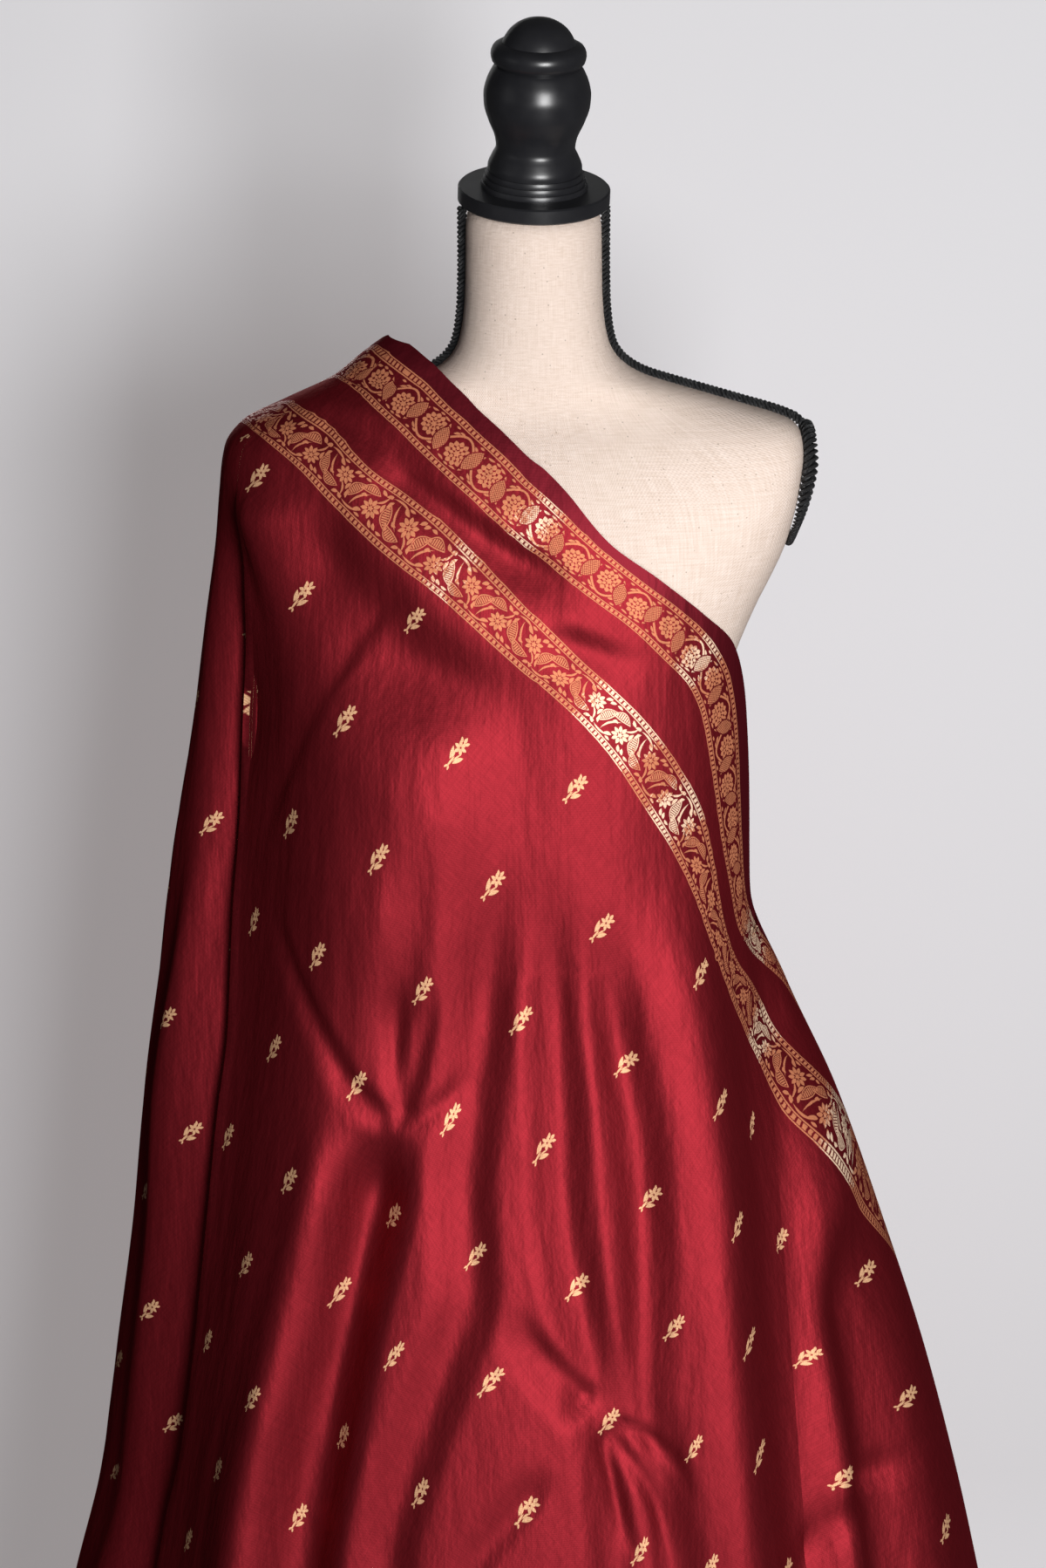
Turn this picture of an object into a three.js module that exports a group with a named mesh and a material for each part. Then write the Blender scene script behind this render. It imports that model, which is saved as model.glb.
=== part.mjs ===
// A saree draped over a limbless dress form, in millimetres, +Z up.
// The cloth is a thin wall whose level sections widen from the shoulder to the hem. Its top edge, the
// woven selvage, runs from the left shoulder down to the right waist, in front and behind.
import * as THREE from 'three';
import { mergeVertices } from 'three/addons/utils/BufferGeometryUtils.js';

const DEG = Math.PI / 180;

// Cloth sizes
const WALL = 2;
const SEAM_GAP = 0.4;
const HEM_HEIGHT = 25;
const WAIST_HEIGHT = 1034;
const WAIST_ANGLE = 90;
const SECTION_FULLNESS = 2.25;
const LAYER_STEP = 16;

// Level sections of the cloth: how far it reaches to each side of the form's axis
const CLOTH_SECTIONS = [
  { height: 1416, left: 97, right: 66, front: 27, back: 26 },
  { height: 1400, left: 118, right: 100, front: 46, back: 44 },
  { height: 1385, left: 137, right: 126, front: 56, back: 53 },
  { height: 1370, left: 168.6, right: 150, front: 66, back: 62 },
  { height: 1355, left: 198, right: 172, front: 76, back: 70 },
  { height: 1340, left: 209, right: 187, front: 84, back: 76 },
  { height: 1310, left: 214, right: 181, front: 96, back: 84 },
  { height: 1275, left: 219, right: 170, front: 104, back: 90 },
  { height: 1240, left: 225, right: 154, front: 111, back: 94 },
  { height: 1190, left: 233, right: 146.5, front: 117, back: 98 },
  { height: 1130, left: 242, right: 145.5, front: 122, back: 100 },
  { height: 1034, left: 258, right: 147, front: 131, back: 106 },
  { height: 960, left: 268, right: 175, front: 142, back: 116 },
  { height: 880, left: 280, right: 212, front: 160, back: 132 },
  { height: 780, left: 291, right: 248, front: 185, back: 160 },
  { height: 680, left: 306, right: 281, front: 208, back: 188 },
  { height: 580, left: 321, right: 308, front: 230, back: 212 },
  { height: 480, left: 346, right: 331, front: 250, back: 236 },
  { height: 300, left: 382, right: 372, front: 285, back: 275 },
  { height: 120, left: 408, right: 405, front: 312, back: 302 },
  { height: HEM_HEIGHT, left: 418, right: 418, front: 325, back: 315.5 },
];

// Where the selvage crosses each height in front, as an angle from straight ahead. Behind, it is mirrored.
const SELVAGE = [
  { height: 1416, angle: -90 },
  { height: 1408, angle: -64 },
  { height: 1400, angle: -38 },
  { height: 1377, angle: -13 },
  { height: 1346, angle: -2 },
  { height: 1321, angle: 3 },
  { height: 1293, angle: 12.5 },
  { height: 1267, angle: 26 },
  { height: 1241, angle: 43 },
  { height: 1218, angle: 58 },
  { height: 1190, angle: 68 },
  { height: 1152, angle: 75 },
  { height: 1106, angle: 82 },
  { height: WAIST_HEIGHT, angle: WAIST_ANGLE },
];

// The flare's own stretch of selvage, falling from the right waist round to the back
const FLARE_SELVAGE = [
  { height: WAIST_HEIGHT, angle: WAIST_ANGLE },
  { height: 975, angle: 101 },
  { height: 900, angle: 115 },
  { height: 800, angle: 130 },
  { height: 700, angle: 142 },
  { height: 620, angle: 150 },
];
const FLARE_END_ANGLE = 150;
const BACK_DIP = 16;

// The fold at the front's left edge and the valley at its right, as distances from the form's axis
const LEFT_FOLD = [
  { height: 1416, distance: 88 },
  { height: 1400, distance: 107 },
  { height: 1385, distance: 125 },
  { height: 1370, distance: 155 },
  { height: 1355, distance: 181 },
  { height: 1343, distance: 192 },
  { height: 1240, distance: 194 },
  { height: 1152, distance: 197 },
  { height: 1034, distance: 205 },
  { height: 944, distance: 211 },
  { height: 889, distance: 219 },
  { height: 801, distance: 228 },
  { height: 645, distance: 251 },
  { height: 581, distance: 266 },
  { height: HEM_HEIGHT, distance: 340 },
];
const RIGHT_VALLEY = [
  { height: WAIST_HEIGHT, distance: 147 },
  { height: 1000, distance: 149 },
  { height: 944, distance: 156 },
  { height: 889, distance: 162 },
  { height: 801, distance: 171 },
  { height: 645, distance: 186 },
  { height: 581, distance: 193 },
  { height: HEM_HEIGHT, distance: 270 },
];

// Where the other stretches meet, as angles from straight ahead
const FALL_TO_BACK_ANGLE = -125;
const BACK_END_ANGLE = -268;

// Creases of the front by their run from head to hem. A trough has a negative depth and a ridge a
// positive one; left and right are how far it reaches to each side, and fade is how long its head is.
const FRONT_CREASES = [
  { run: [[-192, 1343], [-197, 1152], [-228, 801], [-266, 581], [-340, 25]], depth: -38, left: 44, right: 105, fade: 200 },
  { run: [[147, 1034], [156, 944], [171, 801], [193, 581], [270, 25]], depth: -22, left: 42, right: 40, fade: 110 },
  { run: [[91, 1085], [117, 938], [136, 756], [150, 600], [215, 25]], depth: 12, left: 34, right: 28, fade: 130 },
  { run: [[-10, 1092], [-39, 862], [-91, 622], [-110, 25]], depth: -9, left: 27, right: 26, fade: 130 },
  { run: [[18, 1091], [27, 862], [58, 620], [94, 25]], depth: -10, left: 26, right: 24, fade: 130 },
  { run: [[50, 1067], [77, 888], [100, 621], [148, 25]], depth: -11, left: 24, right: 26, fade: 130 },
  { run: [[-91, 906], [-102, 831], [-150, 640], [-197, 25]], depth: -18, left: 32, right: 28, fade: 60 },
  { run: [[-112, 930], [-150, 790], [-199, 606], [-255, 25]], depth: 12, left: 26, right: 26, fade: 80 },
  { run: [[-64, 1120], [-79, 997], [-91, 906], [-91, 880]], depth: -6, left: 26, right: 24, fade: 120 },
  { run: [[208, 828], [222, 706], [240, 560], [316, 25]], depth: -10, left: 26, right: 26, fade: 90 },
];

// The long slanting trough under the lower border
const SLANT_CREASES = [
  { run: [[-172, 1328], [-99, 1262], [-33, 1205], [20, 1168]], depth: -8, left: 34, right: 34, fade: 90 },
];

// Hanging folds of the sides and back, by their angle at the head and at the hem
const SIDE_FOLDS = [
  { head: 1240, headAngle: -88, hemAngle: -84, depth: -9, reach: 36 },
  { head: 1150, headAngle: -112, hemAngle: -104, depth: 12, reach: 42 },
  { head: 1200, headAngle: -138, hemAngle: -128, depth: -14, reach: 40 },
  { head: 1100, headAngle: -160, hemAngle: -147, depth: 12, reach: 40 },
  { head: 1060, headAngle: -178, hemAngle: -165, depth: -15, reach: 38 },
  { head: 1040, headAngle: -202, hemAngle: -186, depth: 12, reach: 42 },
  { head: 1010, headAngle: -222, hemAngle: -208, depth: -13, reach: 36 },
  { head: 900, headAngle: -246, hemAngle: -236, depth: -12, reach: 34 },
];

// How many columns each stretch is drawn with. All share one number of rows, so that seams match.
const CLOTH_ROWS = 23;
const ROW_CROWDING = 1.45;
const CLOTH_COLUMNS = { front_drape: 40, shoulder_fall: 12, back_drape: 32, right_flare: 16 };

// Dress form sizes, about its own axis. Fullness is how square a section is: 2 is an ellipse.
const FORM_AXIS_X = -3;
const FORM_SECTIONS = [
  { height: 780, side: 160, front: 104, back: 104, fullness: 2.25 },
  { height: 800, side: 166, front: 110, back: 110, fullness: 2.25 },
  { height: 860, side: 172, front: 114, back: 112, fullness: 2.25 },
  { height: 950, side: 150, front: 100, back: 92, fullness: 2.25 },
  { height: 1034, side: 118, front: 86, back: 78, fullness: 2.25 },
  { height: 1110, side: 122, front: 92, back: 80, fullness: 2.25 },
  { height: 1160, side: 129, front: 97, back: 80, fullness: 2.25 },
  { height: 1200, side: 137, front: 98, back: 80, fullness: 2.25 },
  { height: 1240, side: 147, front: 95, back: 78, fullness: 2.35 },
  { height: 1275, side: 160, front: 88, back: 75, fullness: 2.8 },
  { height: 1310, side: 174, front: 79, back: 70, fullness: 3.4 },
  { height: 1335, side: 181, front: 67, back: 61, fullness: 3.6 },
  { height: 1348, side: 180, front: 59, back: 55, fullness: 3.4 },
  { height: 1356, side: 174, front: 53, back: 50, fullness: 3 },
  { height: 1361, side: 163, front: 50, back: 48, fullness: 2.7 },
  { height: 1368, side: 139, front: 47, back: 46, fullness: 2.4 },
  { height: 1376, side: 111, front: 46, back: 46, fullness: 2.25 },
  { height: 1382, side: 90, front: 47, back: 46, fullness: 2.25 },
  { height: 1387, side: 74, front: 48, back: 47, fullness: 2.25 },
  { height: 1392, side: 64, front: 48, back: 48, fullness: 2.25 },
  { height: 1399, side: 55.5, front: 48, back: 49, fullness: 2.25 },
  { height: 1408, side: 50, front: 48, back: 49, fullness: 2.2 },
  { height: 1422, side: 47, front: 47, back: 48, fullness: 2.15 },
  { height: 1440, side: 45.5, front: 46, back: 47, fullness: 2.1 },
  { height: 1470, side: 45, front: 45, back: 45, fullness: 2 },
  { height: 1500, side: 45, front: 45, back: 45, fullness: 2 },
];
const FORM_SIDES = 28;
const NECK_TILT = 12.5 * DEG;
const NECK_ROLL = 1.8 * DEG;
const NECK_TILT_START = 1430;
const NECK_TOP = FORM_SECTIONS[FORM_SECTIONS.length - 1].height;
const TOUCH_GAP = 0.3;

// Turned profile of the neck cap, up from its underside
const CAP_SIDES = 20;
const CAP_DISC = { radius: 49.9, thickness: 10.2, edge: 1 };
const CAP_STEPS = [
  { radius: 34.6, top: 13.5 },
  { radius: 33.2, top: 17.5 },
  { radius: 31.8, top: 21 },
];
const CAP_CURVE = [
  { radius: 31.4, height: 24 },
  { radius: 28.4, height: 31 },
  { radius: 25.8, height: 37 },
  { radius: 26.6, height: 43 },
  { radius: 31.4, height: 55 },
  { radius: 34.4, height: 65 },
  { radius: 34.8, height: 72 },
  { radius: 33.2, height: 80 },
  { radius: 29.4, height: 88 },
  { radius: 27.8, height: 90.5 },
  { radius: 30, height: 93.5 },
  { radius: 30.9, height: 98 },
  { radius: 29.4, height: 102.5 },
  { radius: 24.4, height: 105 },
  { radius: 22.4, height: 108 },
  { radius: 19.6, height: 112.4 },
  { radius: 15, height: 116.6 },
  { radius: 8.4, height: 119.8 },
];
const CAP_TOP = 121;

// Braided trims
const TRIM_SIDES = 6;
const NECK_TRIM = { radius: 2.9, steps: 34, top: 1497, bottom: 1357 };
const ARMHOLE_TRIM = { radius: 4, steps: 24, top: 1350, bottom: 1274, reach: 31 };

// Stand
const POLE_RADIUS = 16;
const POLE_SIDES = 20;
const BASE_RADIUS = 190;
const BASE_PROFILE = [
  { radius: BASE_RADIUS - 4, height: 0 },
  { radius: BASE_RADIUS, height: 4 },
  { radius: BASE_RADIUS, height: 15 },
  { radius: BASE_RADIUS - 5, height: 20 },
  { radius: 60, height: 26 },
  { radius: 34, height: 34 },
  { radius: 27, height: 52 },
  { radius: 27, height: 60 },
];
const BASE_SIDES = 32;

const MATERIALS = {
  silk: new THREE.MeshStandardMaterial({ color: 0x8c1626, roughness: 0.42, metalness: 0 }),
  linen: new THREE.MeshStandardMaterial({ color: 0xeadccb, roughness: 0.9, metalness: 0 }),
  blackWood: new THREE.MeshStandardMaterial({ color: 0x141416, roughness: 0.35, metalness: 0 }),
  blackCord: new THREE.MeshStandardMaterial({ color: 0x161718, roughness: 0.7, metalness: 0 }),
};

// Value of one column of a table at a height or angle, with a smooth curve through the rows
function readTable(rows, key, column, at) {
  const rising = rows[0][key] < rows[rows.length - 1][key];
  const row = (index) => rows[rising ? index : rows.length - 1 - index];
  const last = rows.length - 1;
  const place = Math.min(Math.max(at, row(0)[key]), row(last)[key]);
  let index = 0;
  while (index < last - 1 && row(index + 1)[key] < place) index += 1;
  const [a, b] = [row(index), row(index + 1)];
  const slope = (from, to) => (to[column] - from[column]) / (to[key] - from[key]);
  const middle = slope(a, b);
  const meet = (one, two) => (one * two > 0 ? (2 * one * two) / (one + two) : 0);
  const before = index > 0 ? meet(slope(row(index - 1), a), middle) : middle;
  const after = index < last - 1 ? meet(middle, slope(b, row(index + 2))) : middle;
  const span = b[key] - a[key];
  const t = (place - a[key]) / span;
  const t2 = t * t;
  const t3 = t2 * t;
  return (2 * t3 - 3 * t2 + 1) * a[column] + (t3 - 2 * t2 + t) * span * before
    + (3 * t2 - 2 * t3) * b[column] + (t3 - t2) * span * after;
}

function smoothStep(from, to, value) {
  const t = Math.min(Math.max((value - from) / (to - from), 0), 1);
  return t * t * (3 - 2 * t);
}

// Point of a level section at an angle from straight ahead, with rounded corners
function sectionPoint(section, angle, fullness) {
  const s = Math.sin(angle * DEG);
  const c = Math.cos(angle * DEG);
  const x = (s > 0 ? section.right : -section.left) * Math.abs(s) ** (2 / fullness);
  const y = (c > 0 ? -section.front : section.back) * Math.abs(c) ** (2 / fullness);
  return [x, y];
}

function clothSection(height) {
  const section = {};
  for (const side of ['left', 'right', 'front', 'back']) {
    section[side] = readTable(CLOTH_SECTIONS, 'height', side, height);
  }
  return section;
}

// Outward direction of a section, level with the floor
function sectionOutward(section, angle) {
  const step = 1.5;
  const [x0, y0] = sectionPoint(section, angle - step, SECTION_FULLNESS);
  const [x1, y1] = sectionPoint(section, angle + step, SECTION_FULLNESS);
  const length = Math.hypot(x1 - x0, y1 - y0);
  return [(y1 - y0) / length, -(x1 - x0) / length];
}

// Rise or fall of one crease at a place seen from the front
function creaseAt(crease, x, z) {
  let best = Infinity;
  let offset = 0;
  let along = 0;
  let travelled = 0;
  for (let i = 0; i < crease.run.length - 1; i += 1) {
    const [ax, az] = crease.run[i];
    const [bx, bz] = crease.run[i + 1];
    const length = Math.hypot(bx - ax, bz - az);
    const t = Math.min(Math.max(((x - ax) * (bx - ax) + (z - az) * (bz - az)) / length ** 2, 0), 1);
    const dx = x - ax - t * (bx - ax);
    const dz = z - az - t * (bz - az);
    const gap = Math.hypot(dx, dz);
    if (gap < best) {
      best = gap;
      const side = (bx - ax) * (z - az) - (bz - az) * (x - ax);
      offset = side > 0 ? gap : -gap;
      along = travelled + t * length;
    }
    travelled += length;
  }
  const reach = offset < 0 ? crease.left : crease.right;
  const u = Math.min(Math.abs(offset) / reach, 1);
  const open = crease.closes ? smoothStep(0, crease.fade, travelled - along) : 1;
  return crease.depth * (0.5 + 0.5 * Math.cos(Math.PI * u)) * smoothStep(0, crease.fade, along) * open;
}

function frontFolds(angle, x, z) {
  const facing = smoothStep(0, 0.3, Math.cos(angle * DEG));
  if (facing === 0) return 0;
  let rise = 0;
  for (const crease of FRONT_CREASES) rise += creaseAt(crease, x, z);
  for (const crease of SLANT_CREASES) rise += creaseAt({ ...crease, closes: true }, x, z);
  return rise * facing;
}

function sideFolds(angle, section, z) {
  const turned = angle > 0 ? angle - 360 : angle;
  let rise = 0;
  for (const fold of SIDE_FOLDS) {
    const down = smoothStep(fold.head, HEM_HEIGHT, z);
    const middle = fold.headAngle + (fold.hemAngle - fold.headAngle) * down;
    const radius = (section.left + section.right + section.front + section.back) / 4;
    const u = Math.min(Math.abs(turned - middle) * DEG * radius / fold.reach / (0.6 + 0.7 * down), 1);
    rise += fold.depth * (0.5 + 0.5 * Math.cos(Math.PI * u)) * smoothStep(fold.head, fold.head - 260, z);
  }
  return rise;
}

// Outer surface of the cloth at an angle and a height. inset moves a layer towards the form.
function clothPoint(angle, z, inset = 0) {
  const section = clothSection(z);
  const [x, y] = sectionPoint(section, angle, SECTION_FULLNESS);
  const [nx, ny] = sectionOutward(section, angle);
  const hidden = Math.min(inset / LAYER_STEP, 1);
  const rise = (frontFolds(angle, x, z) + sideFolds(angle, section, z)) * (1 - hidden) - inset;
  return new THREE.Vector3(x + nx * rise, y + ny * rise, z);
}

// Angle from straight ahead at which a section is a given distance from the axis
function angleAtDistance(distance, extent) {
  return Math.asin(Math.min(distance / extent, 1) ** (SECTION_FULLNESS / 2)) / DEG;
}

function frontLeftAngle(z) {
  return -angleAtDistance(readTable(LEFT_FOLD, 'height', 'distance', z), clothSection(z).left);
}

function frontRightAngle(z) {
  if (z >= WAIST_HEIGHT) return WAIST_ANGLE;
  return angleAtDistance(readTable(RIGHT_VALLEY, 'height', 'distance', z), clothSection(z).right);
}

// Height at which a column, whose angle changes with height, meets a selvage
function topHeight(columnAngle, selvage) {
  const [first, last] = [selvage[0].height, selvage[selvage.length - 1].height];
  let [low, high] = [last, first];
  const past = (z) => columnAngle(z) > readTable(selvage, 'height', 'angle', z);
  for (let i = 0; i < 40; i += 1) {
    const middle = (low + high) / 2;
    if (past(middle)) high = middle; else low = middle;
  }
  return (low + high) / 2;
}

// Behind, the selvage is the front's mirrored, and dips below it
const mirrored = (angle) => -180 - angle;
function backTop(column) {
  const top = topHeight((z) => Math.max(column(z), mirrored(column(z))), SELVAGE);
  return top - BACK_DIP * smoothStep(-90, -128, column(top));
}

// Each stretch, from its leftmost angle to its rightmost as the front is faced, and its top edge
const STRETCHES = {
  front_drape: {
    from: frontLeftAngle,
    to: frontRightAngle,
    top: (column) => topHeight(column, SELVAGE),
    inset: () => 0,
  },
  shoulder_fall: {
    from: () => FALL_TO_BACK_ANGLE,
    to: frontLeftAngle,
    top: backTop,
    inset: () => 0,
  },
  back_drape: {
    from: () => BACK_END_ANGLE,
    to: () => FALL_TO_BACK_ANGLE,
    top: backTop,
    inset: (angle, z) => LAYER_STEP * smoothStep(-186, -214, angle) * smoothStep(WAIST_HEIGHT + 60, 960, z),
  },
  right_flare: {
    from: frontRightAngle,
    to: () => FLARE_END_ANGLE,
    top: (column) => topHeight(column, FLARE_SELVAGE),
    inset: () => 0,
  },
};

// Angle at a share of the way round a section, by arc length, kept a margin inside both ends
const ARC_STEPS = 30;
function columnAngle(stretch, share, z, margin) {
  const section = clothSection(z);
  const [from, to] = [stretch.from(z), stretch.to(z)];
  const arcs = [0];
  let [x, y] = sectionPoint(section, from, SECTION_FULLNESS);
  for (let i = 1; i <= ARC_STEPS; i += 1) {
    const [nextX, nextY] = sectionPoint(section, from + (i / ARC_STEPS) * (to - from), SECTION_FULLNESS);
    arcs.push(arcs[i - 1] + Math.hypot(nextX - x, nextY - y));
    [x, y] = [nextX, nextY];
  }
  const whole = arcs[ARC_STEPS];
  const target = margin + share * (whole - 2 * margin);
  let i = 0;
  while (i < ARC_STEPS - 1 && arcs[i + 1] < target) i += 1;
  return from + ((i + (target - arcs[i]) / (arcs[i + 1] - arcs[i])) / ARC_STEPS) * (to - from);
}

// Rows follow the cloth's left profile, and lie closer where it turns, so that the shoulder is round
const TRAVEL_STEPS = 400;
const TURN_WEIGHT = 120;
const travelTable = [];
for (let i = 0; i <= TRAVEL_STEPS; i += 1) {
  const z = CLOTH_SECTIONS[0].height + (i / TRAVEL_STEPS) * (HEM_HEIGHT - CLOTH_SECTIONS[0].height);
  const x = readTable(CLOTH_SECTIONS, 'height', 'left', z);
  const before = travelTable[i - 1];
  if (!before) {
    travelTable.push({ height: z, travel: 0, x, slope: Math.PI / 4 });
  } else {
    const slope = Math.atan2(before.height - z, x - before.x);
    const turn = Math.abs(slope - before.slope);
    const travel = before.travel + Math.hypot(z - before.height, x - before.x) + TURN_WEIGHT * turn;
    travelTable.push({ height: z, travel, x, slope });
  }
}
function travelLookup(key, column, at) {
  let index = 0;
  while (index < TRAVEL_STEPS - 1 && (key === 'travel' ? travelTable[index + 1].travel < at
    : travelTable[index + 1].height > at)) index += 1;
  const [a, b] = [travelTable[index], travelTable[index + 1]];
  return a[column] + ((at - a[key]) / (b[key] - a[key])) * (b[column] - a[column]);
}

// Closed wall between an outer grid and the same grid moved in by the wall's thickness
function wallGeometry(outer, inner, columns, rows) {
  const positions = [];
  for (const point of [...outer, ...inner]) positions.push(point.x, point.y, point.z);
  const count = outer.length;
  const at = (column, row) => row * (columns + 1) + column;
  const index = [];
  const quad = (a, b, c, d) => index.push(a, b, c, a, c, d);
  for (let row = 0; row < rows; row += 1) {
    for (let column = 0; column < columns; column += 1) {
      const [a, b] = [at(column, row), at(column + 1, row)];
      const [c, d] = [at(column + 1, row + 1), at(column, row + 1)];
      quad(d, c, b, a);
      quad(a + count, b + count, c + count, d + count);
    }
  }
  for (let column = 0; column < columns; column += 1) {
    const [a, b] = [at(column, 0), at(column + 1, 0)];
    quad(a, b, b + count, a + count);
    const [c, d] = [at(column, rows), at(column + 1, rows)];
    quad(d, c, c + count, d + count);
  }
  for (let row = 0; row < rows; row += 1) {
    const [a, b] = [at(0, row), at(0, row + 1)];
    quad(a, a + count, b + count, b);
    const [c, d] = [at(columns, row), at(columns, row + 1)];
    quad(c, d, d + count, c + count);
  }
  const geometry = new THREE.BufferGeometry();
  geometry.setAttribute('position', new THREE.Float32BufferAttribute(positions, 3));
  geometry.setIndex(index);
  return geometry;
}

function stretchGeometry(name) {
  const columns = CLOTH_COLUMNS[name];
  const stretch = STRETCHES[name];
  const point = (angle, z) => clothPoint(angle, z, stretch.inset(angle, z));
  const hemTravel = travelTable[TRAVEL_STEPS].travel;
  const tops = [];
  for (let column = 0; column <= columns; column += 1) {
    const top = stretch.top((z) => columnAngle(stretch, column / columns, z, 0));
    tops.push(travelLookup('height', 'travel', top));
  }
  const outer = [];
  const inner = [];
  for (let row = 0; row <= CLOTH_ROWS; row += 1) {
    for (let column = 0; column <= columns; column += 1) {
      const travel = tops[column] + (row / CLOTH_ROWS) ** ROW_CROWDING * (hemTravel - tops[column]);
      const z = row === CLOTH_ROWS ? HEM_HEIGHT : travelLookup('travel', 'height', travel);
      const angle = columnAngle(stretch, column / columns, z, SEAM_GAP / 2);
      const around = point(angle + 0.6, z).sub(point(angle - 0.6, z));
      const [above, below] = [Math.min(z + 2, CLOTH_SECTIONS[0].height), Math.max(z - 2, HEM_HEIGHT)];
      const up = point(angle, above).sub(point(angle, below));
      const outward = around.cross(up).normalize();
      outer.push(point(angle, z));
      inner.push(point(angle, z).addScaledVector(outward, -WALL));
    }
  }
  return wallGeometry(outer, inner, columns, CLOTH_ROWS);
}

// Dress form
function formSection(height) {
  const side = readTable(FORM_SECTIONS, 'height', 'side', height);
  return {
    left: side,
    right: side,
    front: readTable(FORM_SECTIONS, 'height', 'front', height),
    back: readTable(FORM_SECTIONS, 'height', 'back', height),
    fullness: readTable(FORM_SECTIONS, 'height', 'fullness', height),
  };
}

// The neck's upper rings turn, so that its top slopes forward and a little to one side
function formPoint(angle, height) {
  const section = formSection(height);
  const [x, y] = sectionPoint(section, angle, section.fullness);
  const turned = smoothStep(NECK_TILT_START, NECK_TOP, height);
  return new THREE.Vector3(x, y, height + turned * (y * Math.tan(NECK_TILT) - x * Math.tan(NECK_ROLL)));
}

function formOutward(angle, height) {
  const around = formPoint(angle + 1, height).sub(formPoint(angle - 1, height));
  const up = formPoint(angle, height + 1).sub(formPoint(angle, height - 1));
  return around.cross(up).normalize();
}

function formGeometry() {
  const heights = FORM_SECTIONS.map((row) => row.height);
  const points = [];
  for (const height of heights) {
    for (let i = 0; i < FORM_SIDES; i += 1) points.push(formPoint((i / FORM_SIDES) * 360, height));
  }
  const positions = points.flatMap((point) => [point.x, point.y, point.z]);
  positions.push(0, 0, heights[0], 0, 0, NECK_TOP);
  const [bottom, top] = [points.length, points.length + 1];
  const index = [];
  for (let i = 0; i < FORM_SIDES; i += 1) {
    const next = (i + 1) % FORM_SIDES;
    index.push(bottom, next, i);
    const last = (heights.length - 1) * FORM_SIDES;
    index.push(top, last + i, last + next);
    for (let ring = 0; ring < heights.length - 1; ring += 1) {
      const [a, b] = [ring * FORM_SIDES + i, ring * FORM_SIDES + next];
      index.push(a, b, b + FORM_SIDES, a, b + FORM_SIDES, a + FORM_SIDES);
    }
  }
  const geometry = new THREE.BufferGeometry();
  geometry.setAttribute('position', new THREE.Float32BufferAttribute(positions, 3));
  geometry.setIndex(index);
  return geometry;
}

// A turned solid from a profile of radii and heights, as one closed body about the Z axis
function turnedGeometry(profile, sides) {
  const outline = profile.map(({ radius, height }) => new THREE.Vector2(radius, height));
  outline.unshift(new THREE.Vector2(0, profile[0].height));
  outline.push(new THREE.Vector2(0, profile[profile.length - 1].height));
  const geometry = new THREE.LatheGeometry(outline, sides);
  geometry.rotateX(Math.PI / 2);
  return closed(geometry);
}

function closed(geometry) {
  geometry.deleteAttribute('normal');
  geometry.deleteAttribute('uv');
  return mergeVertices(geometry, 1e-4);
}

function capProfile() {
  const { radius, thickness, edge } = CAP_DISC;
  const profile = [
    { radius: radius - edge, height: 0 },
    { radius, height: edge },
    { radius, height: thickness - edge },
    { radius: radius - edge, height: thickness },
  ];
  let height = thickness;
  for (const step of CAP_STEPS) {
    profile.push({ radius: step.radius, height }, { radius: step.radius, height: step.top });
    height = step.top;
  }
  profile.push(...CAP_CURVE);
  profile.push({ radius: 0.5, height: CAP_TOP });
  return profile;
}

// A round trim along a list of points, with flat ends
function trimGeometry(points) {
  const { radius, steps } = NECK_TRIM;
  const outline = new THREE.Shape();
  for (let i = 0; i < TRIM_SIDES; i += 1) {
    const angle = (i / TRIM_SIDES) * 2 * Math.PI;
    const [x, y] = [radius * Math.cos(angle), radius * Math.sin(angle)];
    if (i === 0) outline.moveTo(x, y); else outline.lineTo(x, y);
  }
  const path = new THREE.CatmullRomCurve3(points);
  return closed(new THREE.ExtrudeGeometry(outline, { steps, extrudePath: path }));
}

// A round trim that closes on itself
function ringGeometry(points) {
  const { radius, steps } = ARMHOLE_TRIM;
  const path = new THREE.CatmullRomCurve3(points, true);
  return closed(new THREE.TubeGeometry(path, steps, radius, TRIM_SIDES, true));
}

// The neck trim follows the form's side from the neck to the shoulder tip
function neckTrimPoints(side) {
  const points = [];
  const lift = NECK_TRIM.radius + TOUCH_GAP;
  for (let i = 0; i <= NECK_TRIM.steps; i += 1) {
    const share = i / NECK_TRIM.steps;
    const z = NECK_TRIM.top + (NECK_TRIM.bottom - NECK_TRIM.top) * (share < 0.5
      ? 1.2 * share : 0.6 + 0.8 * (share - 0.5));
    const x = readTable(FORM_SECTIONS, 'height', 'side', z);
    const slope = readTable(FORM_SECTIONS, 'height', 'side', z - 1.5)
      - readTable(FORM_SECTIONS, 'height', 'side', z + 1.5);
    const length = Math.hypot(slope, 3);
    points.push(new THREE.Vector3(side * (x + (lift * 3) / length), 0, z + (lift * slope) / length));
  }
  return points;
}

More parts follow.
